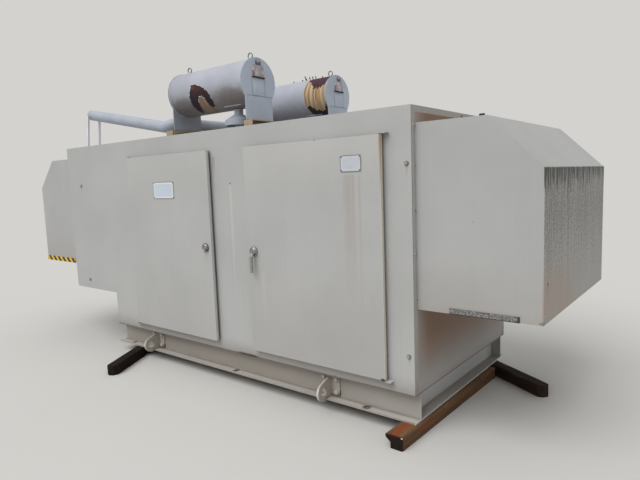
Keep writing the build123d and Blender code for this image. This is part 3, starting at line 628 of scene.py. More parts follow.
class DressHousing(bpy.types.Operator):
    """Paint the walls, roof, doors and floors, with the stains that the weather left and painted light and
    shade on the doors and the end wall
    """
    bl_idname = "generator.dress_housing"
    bl_label = "Housing paint"

    def execute(self, context):
        colours = context.scene.generator_colours
        paint = colours.housing
        inside_dust = [(past, colours.dirt, 2, 700, 280, 0.4, 60)]
        walls = weathered_enamel("sprayed_enamel_walls", paint, self.wall_stains(colours.dirt))
        end_wall = weathered_enamel("sprayed_enamel_end_wall", paint, self.end_wall_shade_and_dust())
        left = weathered_enamel("sprayed_enamel_left_door", paint, self.left_door_stains_and_light())
        right = weathered_enamel("sprayed_enamel_right_door", paint, self.right_door_stains_and_light())
        inside = weathered_enamel("sprayed_enamel_inside", paint, inside_dust, rains=0.3, roughness=0.6)
        finish_nodes(walls, "front_wall_left", "front_wall_post", "front_wall_right", "front_wall_header",
                     "front_wall_sill", "back_wall", "left_end_wall", "roof", "lower_left_wall", "back_doors")
        finish_nodes(end_wall, "right_end_wall")
        finish_nodes(inside, "floors")
        finish_nodes(left, "left_door")
        finish_nodes(right, "right_door")
        return {"FINISHED"}

    def wall_stains(self, dirt):
        """Brown and pale runs on the front wall, three from its bolts, and road dust along its foot."""
        wall_y = FRONT_Y / MM
        floor_z = FLOOR_Z / MM
        end_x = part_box("right_end_wall")[1].x / MM
        # The rust of a wall bolt starts to run just under its head
        upper_left, _, upper_right, lower_right = [(x, wall_y, z - 13) for x, z in WALL_BOLTS]
        return (
            # The front wall's right edge, worn to a brownish line
            (past, "#9A8E80", 0, end_x - 1.5, end_x - 0.5, 0.35),
            # Down the post between the doors: a brown run at its head, a pale one, and black dirt at its foot
            (run_down, "#8B7A66", (296, wall_y, 1922), 170, 26, 0.4),
            (run_down, "#C0BFBC", (485, wall_y, 1680), 1000, 17, 0.6),
            (spot, "#3A2A20", (590, wall_y, floor_z + 3), (150, 20, 9), 0.9),
            (spot, "#2C2623", (485, wall_y, 1699), (8, 20, 8), 0.95),
            (run_down, "#8F7A66", upper_right, 90, 7, 0.4),
            (run_down, "#8F6B52", lower_right, 60, 7, 0.3),
            (run_down, "#8F7A66", upper_left, 120, 8, 0.4),
            (past, "#7D746C", 2, floor_z + 130, floor_z + 30, 0.34, 25),
            (past, dirt, 2, floor_z + 50, floor_z + 8, 0.24, 12),
        )

    def end_wall_shade_and_dust(self):
        """Painted shade under the hood, tinted brown for light bounced off the ground, paler towards the
        front edge, and dust along the foot.
        """
        floor_z = FLOOR_Z / MM
        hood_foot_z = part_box("right_hood_cowl")[0].z / MM
        return (
            # Painted shade: darker and browner from the foot up to just under the hood, then paler towards
            # the front edge
            (past, "#7B522F", 2, floor_z - 90, hood_foot_z - 150, 0.88),
            (past, "#A39B96", 1, -590, -800, 0.75),
            (past, "#8F857C", 2, floor_z + 60, floor_z + 8, 0.3, 12),
        )

    def left_door_stains_and_light(self):
        """Painted light making it paler towards the top, a brown run below its latch, two rust spots, and a
        pale right edge with painted shade of the gap behind it.
        """
        door_y = LEAF_FRONT_Y / MM
        edge_x = LEFT_DOOR_HIGH.x / MM
        return (
            # Painted light: paler towards the top, as the light from above falls
            (past, "#B7B7B4", 2, 1500, 2000, 0.4, 80),
            (past, "#8C8579", 2, 1100, 350, 0.15, 80),
            (run_down, "#B09484", (196, door_y, 1126), 130, 24, 0.4),
            (spot, "#7A5237", (-700, door_y, 1240), (9, 20, 7), 0.7),
            (spot, "#7A5237", (-520, door_y, 640), (8, 20, 8), 0.6),
            *self.pale_edge_and_gap_shade(edge_x, "#C9C8C6", 0.7),
        )

    def right_door_stains_and_light(self):
        """Painted light making it paler towards the top, runs down its right side and near its latch, and a
        pale right edge that rusts from both corners, with painted shade of the gap behind it.
        """
        door_y = LEAF_FRONT_Y / MM
        edge_x = RIGHT_DOOR_HIGH.x / MM
        top_z = RIGHT_DOOR_HIGH.z / MM
        foot_z = RIGHT_DOOR_LOW.z / MM
        worn, painted_gap_shade = self.pale_edge_and_gap_shade(edge_x, "#D2CBBC", 0.8)
        return (
            # Painted light: paler towards the top, as the light from above falls
            (past, "#BAB9B5", 2, 1500, 2000, 0.5, 80),
            (past, "#8C8176", 2, 1200, 350, 0.24, 80),
            # One wide and two narrow runs at its right, and two near its latch
            (run_down, "#94867C", (1690, door_y, 1727), 900, 62, 0.34),
            (run_down, "#A58C7E", (1728, door_y, 1727), 860, 14, 0.3),
            (run_down, "#A58C80", (1777, door_y, 1727), 1200, 12, 0.34),
            (run_down, "#BDBCB6", (860, door_y, 1020), 520, 24, 0.25),
            (run_down, "#8F8A80", (806, door_y, 1130), 260, 30, 0.3),
            (spot, "#5A4A3D", (1413, door_y, top_z), (9, 20, 8), 0.8),
            worn,
            (run_down, "#A0703F", (edge_x, door_y, top_z), 420, 14, 0.8),
            painted_gap_shade,
            (spot, "#1E120C", (edge_x - 16, door_y, foot_z + 3), (20, 30, 13), 0.95),
        )

    def pale_edge_and_gap_shade(self, edge_x, pale, strength):
        """A leaf's right edge: a pale line along it, with painted shade of the gap on the side face behind
        it.
        """
        return ((past, pale, 0, edge_x - 3, edge_x - 1, strength),
                # Painted shade of the gap between the leaf and the wall
                (spot, "#4A4744", (edge_x, -826, 1200), (6, 22, ENDLESS), 0.85))


class DressHoods(bpy.types.Operator):
    """Paint the air hoods and finish their guards, strips and louvres"""
    bl_idname = "generator.dress_hoods"
    bl_label = "Air hoods"

    def execute(self, context):
        colours = context.scene.generator_colours
        paint = shade(colours.housing, 0.95)
        shell = weathered_enamel("sprayed_enamel_hoods", paint, self.shell_stains(colours.mould))
        finish_nodes(shell, "right_hood_cowl", "right_hood_cheeks", "left_hood_cowl", "left_hood_cheeks",
                     "hood_strips")
        finish_nodes(galvanised_sheet("galvanised_louvre_sheet"), "left_louvre", "right_louvre")
        finish_nodes(striped_rubber("striped_guard_rubber", colours.stripe), "left_hood_guard")
        # The sponge guard is nearly black along its foot and at its outer end
        low, high = [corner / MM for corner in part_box("right_hood_guard")]
        guard_stains = ((past, "#2A2725", 2, low.z + 7, low.z + 3, 0.85),
                        (past, "#2A2725", 0, high.x - 14, high.x - 10, 0.85))
        sponge = sponge_rubber("sponge_rubber_grey", "#868583", "#4A4947", guard_stains)
        finish_nodes(sponge, "right_hood_guard")
        return {"FINISHED"}

    def shell_stains(self, mould_colour):
        """Mould down the end face, a rust patch with its run, and dust that thickens towards the foot."""
        low, high = [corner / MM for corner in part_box("right_hood_cowl")]
        cheek_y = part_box("right_hood_cheeks")[0].y / MM
        slope_rise = 309
        edge_z = high.z - slope_rise
        return (
            (mould, mould_colour, high.x, edge_z, edge_z - low.z),
            (past, "#978A7E", 2, low.z + 400, low.z + 60, 0.22, 60),
            (spot, "#A18C7C", (high.x, cheek_y + 180, low.z + 50), (14, 620, 330), 0.5),
            # The rust patch near the end face's front edge
            (spot, "#3E2618", (high.x, -696, 1076), (20, 15, 12), 0.95),
            (run_down, "#8A5A3C", (high.x, -696, 1070), 60, 12, 0.7),
            (spot, "#7E7C75", (2508, cheek_y, 1424), (7, 20, 5), 0.6),
            (spot, "#5F5E58", (high.x, cheek_y + 8, low.z + 10), (30, 26, 14), 0.8),
            (past, "#9A8F84", 2, low.z + 70, low.z, 0.3, 20),
        )


class DressSkid(bpy.types.Operator):
    """Paint the skid and lugs and finish the timbers under them"""
    bl_idname = "generator.dress_skid"
    bl_label = "Skid and timbers"

    def execute(self, context):
        colours = context.scene.generator_colours
        stains_and_shading = self.channel_stains_and_shading()
        # Darker along the top of the end channel's lower flange, near its web
        dark_flange_top = (spot, "#857C73", (SKID_HIGH.x / MM - 40, 0, SKID_LOW.z / MM + 11),
                        (60, ENDLESS, 9), 0.7)
        steel = weathered_enamel("sprayed_enamel_skid", colours.skid, stains_and_shading, rains=0.5)
        lug_paint = shade(colours.skid, 1.3)
        lugs = weathered_enamel("brushed_enamel_lugs", lug_paint, self.lug_stains_and_shading(), rains=0.4)
        cross = weathered_enamel("sprayed_enamel_cross_members", "#BFC3C7", (*stains_and_shading, dark_flange_top),
                                 rains=0.5)
        square = self.square_timber(colours)
        back = sawn_timber("tarred_hardwood_back", colours.dark_timber, BACK_TURN, "#5E4838", 0.5)
        left = sawn_timber("tarred_hardwood_left", shade(colours.dark_timber, 0.5), LEFT_TURN, "#33261F",
                           0.4)
        finish_nodes(steel, "skid_front", "skid_back")
        finish_nodes(cross, "skid_cross_members")
        finish_nodes(lugs, "lifting_lugs")
        finish_nodes(square, "bearer_right")
        finish_nodes(back, "bearer_right_back")
        finish_nodes(left, "bearers_left")
        return {"FINISHED"}

    def channel_stains_and_shading(self):
        """Dust along the flanges, painted shadow on the upper flange's edges under the wall, a painted
        highlight on the lower flange's end edge, and grime round the anchor holes.
        """
        foot_z = SKID_LOW.z / MM
        flange_y = SKID_LOW.y / MM
        top_edge = FLOOR_Z / MM - 6
        end_x = SKID_HIGH.x / MM
        fillet_y = -752
        hole_y = -782
        stains_and_shading = [
            (past, "#BDB9B3", 2, foot_z + 30, foot_z + 8, 0.5, 14),
            (past, "#B3B0AB", 0, end_x - 900, end_x - 200, 0.45, 200),
            (spot, "#6E6255", (0, fillet_y, foot_z + 15), (ENDLESS, 17, 9), 0.6),
            # Painted shadow on the upper flange's front and end edges under the wall, with a dark patch at
            # its front; then the lower flange's front edge, and a painted highlight on its end edge
            (spot, "#6B645D", (0, flange_y, top_edge), (ENDLESS, 7, 16), 0.95),
            (spot, "#7A736B", (end_x, 0, top_edge), (7, ENDLESS, 16), 0.95),
            (spot, "#2A1F19", (590, flange_y, top_edge + 2), (150, 12, 12), 0.95),
            (spot, "#8F8A82", (0, flange_y, foot_z + 4), (ENDLESS, 7, 10), 0.85),
            (spot, "#E6E7E4", (end_x, 0, foot_z + 4), (7, ENDLESS, 8), 0.9),
        ]
        for x, spot_marks, reach in zip(ANCHOR_XS, ("#66655E", "#4E3828", "#4E3828"), (34, 34, 38)):
            stains_and_shading.append((spot, spot_marks, (x, hole_y, foot_z + 11), (reach, reach + 2, 12), 0.9))
        return stains_and_shading

    def lug_stains_and_shading(self):
        """A painted highlight on the front edge, rust at the foot and the eye, and painted shadow beside the
        bolts at the right.
        """
        foot_z = SKID_LOW.z / MM
        flange_y = SKID_LOW.y / MM
        base_y = -750
        # Painted highlight along the lugs' front edges
        stains_and_shading = [(past, "#C9C8C4", 1, flange_y - 80, flange_y - 92, 0.7)]
        for x in LUG_XS:
            stains_and_shading.append((spot, "#5E4436", (x + 8, flange_y + 10, foot_z + 14), (8, 40, 8), 0.6))
            stains_and_shading.append((spot, "#4A4038", (x + 8, -822, foot_z + 94), (12, 7, 7), 0.9))
            # Painted shadow of the bolts, on the base at their right
            stains_and_shading.append((spot, "#2E2622", (x + 84, base_y, foot_z + 42), (18, 22, 22), 0.9))
            stains_and_shading.append((spot, "#2E2622", (x + 84, base_y, foot_z + 156), (16, 22, 16), 0.9))
        return stains_and_shading

    def square_timber(self, colours):
        """The square bearer: red-brown where its top split off, with a nearly black sawn end."""
        low, high = [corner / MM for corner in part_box("bearer_right")]
        # The middle of its near end, which the small turn moves aside
        end_x = (low.x + high.x) / 2 + (high.y - low.y) / 2 * cos(SQUARE_TURN)
        stains_and_shading = (
            (spot, "#8A452C", (end_x - 2, low.y + 110, high.z), (34, 190, 16), 0.95),
            (spot, "#7A5A3A", (end_x + 42, low.y + 90, high.z), (24, 170, 14), 0.8),
            (spot, "#7A4630", (end_x + 65, low.y + 330, 50), (14, 150, 34), 0.75),
            (spot, "#B3947A", (end_x + 65, low.y + 620, 74), (14, 60, 16), 0.85),
            (past, "#100A07", 1, low.y + 16, low.y + 3, 0.95, 2),
            (spot, "#F0EBE2", (end_x + 62, low.y + 2, high.z - 4), (9, 9, 9), 1.0),
        )
        return sawn_timber("sawn_hardwood_square", colours.square_timber, SQUARE_TURN, "#6B5746", 0.4, stains_and_shading)


class DressExhaust(bpy.types.Operator):
    """Paint the silencers, rails and pipework"""
    bl_idname = "generator.dress_exhaust"
    bl_label = "Exhaust paint"

    def execute(self, context):
        colours = context.scene.generator_colours
        front_soot_and_shade, back_soot_and_shade = self.drum_soot_and_shade()
        plates = heat_paint("heat_paint_plates", colours.end_plate, self.plate_stains_and_shade())
        pipes = heat_paint("heat_paint_pipes", colours.pipe)
        posts = heat_paint("heat_paint_posts", "#E0DAE4")
        front_drum = heat_paint("heat_paint_front_drum", colours.silencer, front_soot_and_shade)
        back_drum = heat_paint("heat_paint_back_drum", colours.silencer, back_soot_and_shade)
        rails = weathered_enamel("brushed_cream_paint", colours.cream, self.rail_stains_and_shade(), rains=1.6)
        finish_nodes(front_drum, "silencer_front_drum")
        finish_nodes(back_drum, "silencer_back_drum")
        finish_nodes(plates, "silencer_front_plates", "silencer_back_plates")
        finish_nodes(pipes, "tail_pipe", "exhaust_inlets")
        finish_nodes(posts, "pipe_posts")
        finish_nodes(rails, "cross_rails")
        finish_nodes(plated_steel("zinc_plated_eyes", "#9A9C9F", "#66645F", 0.4), "lifting_eyes")
        return {"FINISHED"}

    def drum_soot_and_shade(self):
        """Soot and painted shade under the front and the back drum, thicker on the front one, which is also
        darker towards its left end and has two darker soot clouds.
        """
        low, high = [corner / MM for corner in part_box("silencer_front_drum")]
        middle_z = (low.z + high.z) / 2
        # Each drum's lower half darker: soot, and painted shade of its underside
        front = [(past, "#6A6262", 2, middle_z - 20, low.z, 0.75, 40),
                 (past, "#6B5E5A", 2, middle_z + 20, middle_z - 120, 0.55, 40),
                 (past, "#76757C", 0, 60, low.x, 0.22, 60),
                 (spot, "#463D3A", (-190, low.y + 60, middle_z - 120), (210, 120, 80), 0.4),
                 (spot, "#5A4A42", (420, low.y + 40, middle_z - 100), (190, 120, 90), 0.4)]
        back = [(past, "#67666D", 2, middle_z - 20, low.z, 0.75, 40),
                (past, "#80828C", 2, middle_z + 20, middle_z - 130, 0.2, 50)]
        return front, back

    def plate_stains_and_shade(self):
        """Painted shadow along the feet over the rails, painted shade of the drums over the left end, a dark
        patch at each plug and greyer rims.
        """
        low, high = [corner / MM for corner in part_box("silencer_front_drum")]
        middle_z = (low.z + high.z) / 2
        _, rail_high = [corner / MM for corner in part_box("cross_rails")]
        # Painted shadow where the feet stand on the rails, and painted shade of the drums on the left end's
        # plates
        stains_and_shading = [(past, "#5A5450", 2, rail_high.z + 16, rail_high.z + 3, 0.6, 4),
                  (past, "#6E6A6A", 0, low.x + 60, low.x + 20, 0.45)]
        for side, shift in PLATE_SHIFTS.items():
            plate_low, plate_high = [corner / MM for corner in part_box(f"silencer_{side}_plates")]
            plug_y = (plate_low.y + plate_high.y) / 2 + shift
            stains_and_shading.append((spot, "#38363E", (plate_high.x, plug_y + 4, middle_z + 152), (30, 40, 40), 0.85))
        for edge_x, tone in ((plate_high.x - 5, "#6E7177"), (plate_low.x + 4, "#84878E")):
            stains_and_shading.append((spot, tone, (edge_x, 0, middle_z), (5, ENDLESS, ENDLESS), 0.6))
        return stains_and_shading

    def rail_stains_and_shade(self):
        """Rust along the rails' lower edge and front right end, and painted shade, near black, on the rails
        under each silencer.
        """
        low, high = [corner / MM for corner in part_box("cross_rails")]
        stains_and_shading = [(past, "#7E5A40", 2, low.z + 22, low.z + 3, 0.5, 10),
                  (spot, "#7A5238", (high.x, -690, low.z + 20), (60, 40, 24), 0.6)]
        # Painted shade: near black on the rails under each silencer, in its shadow
        for x in (low.x + 70, high.x - 42):
            for y in (-548, 548):
                stains_and_shading.append((spot, "#2A2420", (x, y, low.z + 26), (60, 175, 28), 0.9))
        return stains_and_shading


class DressDoorFittings(bpy.types.Operator):
    """Finish latches, pivots and plates, and add the dished faces and the plates' screws"""
    bl_idname = "generator.dress_door_fittings"
    bl_label = "Door fittings"

    def execute(self, context):
        colours = context.scene.generator_colours
        pivot_y = FRONT_Y / MM - 30
        pivot_stains = [(spot, "#7A5238", (1920, pivot_y, 358), (26, 50, 12), 0.9),
                        (spot, "#2E2622", (-890, pivot_y, 354), (44, 60, 16), 0.95)]
        finish_nodes(plated_steel("chromium_plated_latch", "#9C9A9C", "#7C7A7E"), "left_latch", "right_latch")
        finish_nodes(plated_steel("nickel_plated_lever", "#B6B7B3", "#A0A19D", 0.4), "latch_lever")
        finish_nodes(weathered_enamel("brushed_enamel_pivots", colours.housing, pivot_stains), "door_pivots")
        finish_nodes(printed_plate("enamelled_sign_plate", "sign_plate", "#DFE0E0", "#C6CFDC", "#54575C"),
                     "sign_plate")
        finish_nodes(printed_plate("anodised_rating_plate", "rating_plate", "#C8CACE", "#C0C4CC", "#5D636B"),
                     "rating_plate")
        self.plate_screws(context.scene.generator_sizes.screw_head)
        self.dished_faces()
        return {"FINISHED"}

    def plate_screws(self, head):
        """Four dark screws in each plate, one near each corner."""
        dark = plated_steel("blackened_screw_steel", "#4A4644", "#2D2A28", 0.5)
        inset = 11 * MM
        for node, body, slot in (("sign_plate", "left_door", "plate_white"),
                                 ("rating_plate", "right_door", "plate_silver")):
            low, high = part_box(node)
            bm = bmesh.new()
            for x in (low.x + inset, high.x - inset):
                for z in (low.z + inset, high.z - inset):
                    domed_head(bm, (x, low.y, z), (0, -1, 0), head)
            new_piece(f"{node}_screws", bm, dark, body)

    def dished_faces(self):
        """A dished face on each round cap: a flat rim, a sloped ring that catches the sky, a middle, and
        painted shade low on its right.
        """
        cap_drop = 38 * MM
        lever_cap_y = LEAF_FRONT_Y - 16.6 * MM
        profile = in_metres(((0, 0), (34, 0), (34, 3.6), (32, 4), (26, 8), (24, 5.4), (11, 5), (10, 7),
                             (0, 7)))
        for node, body in (("left_latch", "left_door"), ("latch_lever", "lever")):
            low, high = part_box(node)
            middle_x = (low.x + high.x) / 2
            middle_z = high.z - cap_drop
            face_y = low.y if node == "left_latch" else lever_cap_y
            # Painted shade: a dark spot low on the right of each face, its shadow side
            spot_marks = [(spot, "#3A2624", (middle_x / MM + 24, face_y / MM - 4, middle_z / MM - 20),
                     (14, 20, 14), 0.85)]
            turned = plated_steel(f"turned_{node}_rim", "#AEACAE", "#8A888C", 0.22, spot_marks)
            bm = bmesh.new()
            lathe(bm, profile, (middle_x, face_y, middle_z), (0, -1, 0), 40)
            new_piece(f"{node}_face", bm, turned, body, 30)


class AddDoorSeals(bpy.types.Operator):
    """Add the rubber seal behind each door leaf"""
    bl_idname = "generator.add_door_seals"
    bl_label = "Door seals"

    def execute(self, context):
        sizes = context.scene.generator_sizes
        rubber = black_rubber("extruded_black_rubber")
        corner = 24 * MM
        for name, low, high in (("left_door", LEFT_DOOR_LOW, LEFT_DOOR_HIGH),
                                ("right_door", RIGHT_DOOR_LOW, RIGHT_DOOR_HIGH)):
            outer_in = sizes.seal_inset
            inner_in = sizes.seal_inset + sizes.seal_width
            outer = rounded_loop(low.x + outer_in, high.x - outer_in, low.z + outer_in, high.z - outer_in,
                                 corner)
            inner = rounded_loop(low.x + inner_in, high.x - inner_in, low.z + inner_in, high.z - inner_in,
                                 corner - sizes.seal_width)
            bm = bmesh.new()
            flat_ring(bm, inner, outer, LEAF_BACK_Y, LEAF_BACK_Y + sizes.seal_thickness)
            new_piece(f"{name}_seal", bm, rubber, name)
        return {"FINISHED"}


class AddWallFixings(bpy.types.Operator):
    """Add the bolts on the walls, along the hood strips and on the hoods' tops"""
    bl_idname = "generator.add_wall_fixings"
    bl_label = "Wall and hood fixings"

    def execute(self, context):
        flats = context.scene.generator_sizes.wall_bolt
        zinc = rusty_zinc("zinc_plated_bolts", "#A4A4A2")
        rubber = black_rubber("moulded_black_washer")
        bolts = bmesh.new()
        washers = bmesh.new()
        washer_t = 2 * MM
        washer_r = flats * 0.9
        for x, z in WALL_BOLTS:
            for y, outward in ((FRONT_Y, -1), (BACK_Y, 1)):
                lathe(washers, [(0, 0), (washer_r, 0), (washer_r, washer_t), (0, washer_t)],
                      (x * MM, y, z * MM), (0, outward, 0), 24)
                hex_bolt(bolts, (x * MM, y + outward * washer_t, z * MM), (0, outward, 0), flats)
        new_piece("wall_bolts", bolts, zinc, "housing")
        new_piece("wall_bolt_washers", washers, rubber, "housing")
        self.strip_bolts(zinc)
        self.hood_top_bits()
        return {"FINISHED"}

    def strip_bolts(self, zinc):
        """Five round heads down each hood strip, with a smaller one between some of them."""
        large = (22 * MM, (2018, 1772, 1493, 1215, 931))
        small = (10 * MM, (1594, 1170))
        bm = bmesh.new()
        low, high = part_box("hood_strips")
        for x, outward in ((high.x, 1), (low.x, -1)):
            for y in (-792 * MM, 792 * MM):
                for diameter, heights in (large, small):
                    for z in heights:
                        domed_head(bm, (x, y, z * MM), (outward, 0, 0), diameter)
        new_piece("hood_strip_bolts", bm, zinc, "housing")

    def hood_top_bits(self):
        """A black rubber tab and a rusty bolt end that stand on the front edge of the right hood's top."""
        top_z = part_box("right_hood_cowl")[1].z
        front_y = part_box("right_hood_cheeks")[0].y
        tab_x = 2560 * MM
        tab_half = 16 * MM
        stud_x = 2436 * MM
        bm = bmesh.new()
        box_between(bm, (tab_x - tab_half, front_y + 6 * MM, top_z),
                    (tab_x + tab_half, front_y + 12 * MM, top_z + 12 * MM), 1 * MM)
        new_piece("hood_top_tab", bm, black_rubber("moulded_rubber_tab"), "housing")
        bm = bmesh.new()
        lathe(bm, in_metres(((0, 0), (9, 0), (9, 6), (5, 7), (5, 15), (0, 15))),
              (stud_x, front_y + 14 * MM, top_z), (0, 0, 1), 12)
        new_piece("hood_top_stud", bm, rusty_zinc("rusted_stud_steel", "#8B5E3E"), "housing")


class AddSilencerFittings(bpy.types.Operator):
    """Add plugs, brackets, cover plates and welds on the silencers"""
    bl_idname = "generator.add_silencer_fittings"
    bl_label = "Silencer fittings"

    def execute(self, context):
        weld = context.scene.generator_sizes.weld_radius
        colour = context.scene.generator_colours.end_plate
        paint = heat_paint("heat_paint_fittings", colour)
        line = heat_paint("heat_paint_seams", shade(colour, 0.6))
        dark = burnt_scale("burnt_lip_steel", ("#2B2224", "#4A3833", "#5E4A40"))
        zinc = rusty_zinc("zinc_plated_plug", "#A9A8AC")
        flaked = self.flaked_paint()
        for side, shift in PLATE_SHIFTS.items():
            low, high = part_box(f"silencer_{side}_drum")
            face_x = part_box(f"silencer_{side}_plates")[1].x
            middle_y = (low.y + high.y) / 2
            middle_z = (low.z + high.z) / 2
            cover_y = middle_y - 3 * MM + shift * MM
            self.plug(side, (face_x, middle_y + shift * MM - 4 * MM, middle_z + 166 * MM), zinc)
            middle = (face_x, cover_y, middle_z)
            boss_at = (face_x - 30 * MM, middle_y + (high.z - low.z) / 2 - 2 * MM, middle_z)
            # Half width, bottom, top, thickness and eased edge of each flat block, in millimetres
            self.flat_block(side, "bracket", middle, (62, 42, 134, 7, 2), flaked)
            self.flat_block(side, "lip", middle, (70, 31, 42, 14, 3), dark)
            self.flat_block(side, "cover", middle, (68, -108, 31, 3, 1.2), paint, boss_at)
            self.seams(side, face_x, cover_y, middle_y, middle_z, line)
            self.welds(side, low, high, weld, paint)
        return {"FINISHED"}

    def flaked_paint(self):
        """The brackets' paint: pale and flaking, with rust at the front edge of each."""
        face_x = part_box("silencer_front_plates")[1].x / MM
        spot_marks = [(spot, "#8A5A42", (face_x + 7, y, 2580), (20, 22, 34), 0.75) for y in (-612, 502)]
        return scorched_primer("flaked_bracket_paint", (60, 60, 60),
                               ("#C2BABD", "#A8A1A5", "#938C91", "#D2CCCE"), spot_marks)

    def plug(self, side, at, material):
        """A round plug with a collar, near the top of the end plate."""
        bm = bmesh.new()
        lathe(bm, in_metres(((0, 0), (15, 0), (15, 6), (10, 8), (10, 18), (0, 18))), at, (1, 0, 0), 24)
        new_piece(f"silencer_{side}_plug", bm, material, "housing")

    def flat_block(self, side, part, at, sizes, material, boss_at=None):
        """A flat block on the end plate; the cover's piece has a small boss on the drum's back too."""
        x, y, z = at
        half, bottom, top, thickness, ease = [size * MM for size in sizes]
        bm = bmesh.new()
        if boss_at:
            lathe(bm, in_metres(((0, 0), (11, 0), (11, 12), (7, 15), (0, 15))), boss_at, (0, 1, 0), 16)
        box_between(bm, (x, y - half, z + bottom), (x + thickness, y + half, z + top), ease)
        new_piece(f"silencer_{side}_{part}", bm, material, "housing")

    def seams(self, side, face_x, cover_y, middle_y, middle_z, material):
        """Beads down both sides of the cover, and one across the end plate under it."""
        side_radius = 3.5 * MM
        cross_radius = 2.5 * MM
        cross_z = middle_z - 111 * MM
        bm = bmesh.new()
        for y in (-71 * MM, 71 * MM):
            tube(bm, straight((face_x, cover_y + y, middle_z - 110 * MM),
                              (face_x, cover_y + y, middle_z + 31 * MM)), side_radius)
        tube(bm, straight((face_x, middle_y - 138 * MM, cross_z), (face_x, middle_y + 160 * MM, cross_z)),
             cross_radius)
        new_piece(f"silencer_{side}_seams", bm, material, "housing")

    def welds(self, side, low, high, weld, material):
        """Weld rings where the drum meets its end plates, and a short lengthwise weld under its front."""
        middle_y = (low.y + high.y) / 2
        middle_z = (low.z + high.z) / 2
        radius = (high.z - low.z) / 2
        steps = 120
        bm = bmesh.new()
        for x in (low.x + 3 * MM, high.x - 3 * MM):
            ring = [Vector((x, middle_y + radius * sin(2 * pi * step / steps),
                            middle_z + radius * cos(2 * pi * step / steps))) for step in range(steps)]
            tube(bm, ring, weld * 0.6, 8, True, 0.2)
        seam = [on_drum(low, high, x * MM, 152, 0) for x in (268, 468)]
        tube(bm, straight(*seam), weld * 0.8, 8, False, 0.25)
        new_piece(f"silencer_{side}_welds", bm, material, "housing")


# Outlines of the burnt patches: (x in millimetres, degrees from the top towards the front)
FRONT_SCALE = ((-34, 77), (35, 79), (128, 90), (187, 105), (198, 128), (183, 143), (150, 146), (129, 134),
               (118, 118), (88, 110), (44, 112), (25, 124), (3, 144), (-47, 168), (-68, 149), (-73, 127),
               (-68, 104), (-47, 92))
FRONT_BLOOM = ((44, 112), (88, 110), (118, 118), (129, 134), (150, 146), (150, 165), (90, 176), (-10, 172),
               (-40, 166), (3, 144), (25, 124))
BACK_TOP = ((318, 12), (586, 12), (584, 34), (578, 51), (562, 63), (548, 60), (532, 71), (512, 65),
            (490, 73), (470, 65), (448, 74), (425, 61), (402, 55), (380, 44), (335, 38))
BACK_BLOOM = ((317, 36), (360, 30), (586, 30), (586, 148), (350, 148), (335, 120), (323, 80))
BACK_BELLY = ((345, 122), (372, 116), (408, 124), (440, 136), (470, 132), (500, 140), (540, 136), (570, 118),
              (586, 108), (586, 158), (400, 158), (362, 146))
# Loose flakes on the back drum: (x, width, height) in millimetres
FLAKES = ((78, 16, 13), (196, 18, 12), (236, 12, 42), (248, 16, 18), (292, 15, 27), (330, 13, 27),
          (368, 12, 25), (452, 18, 12))


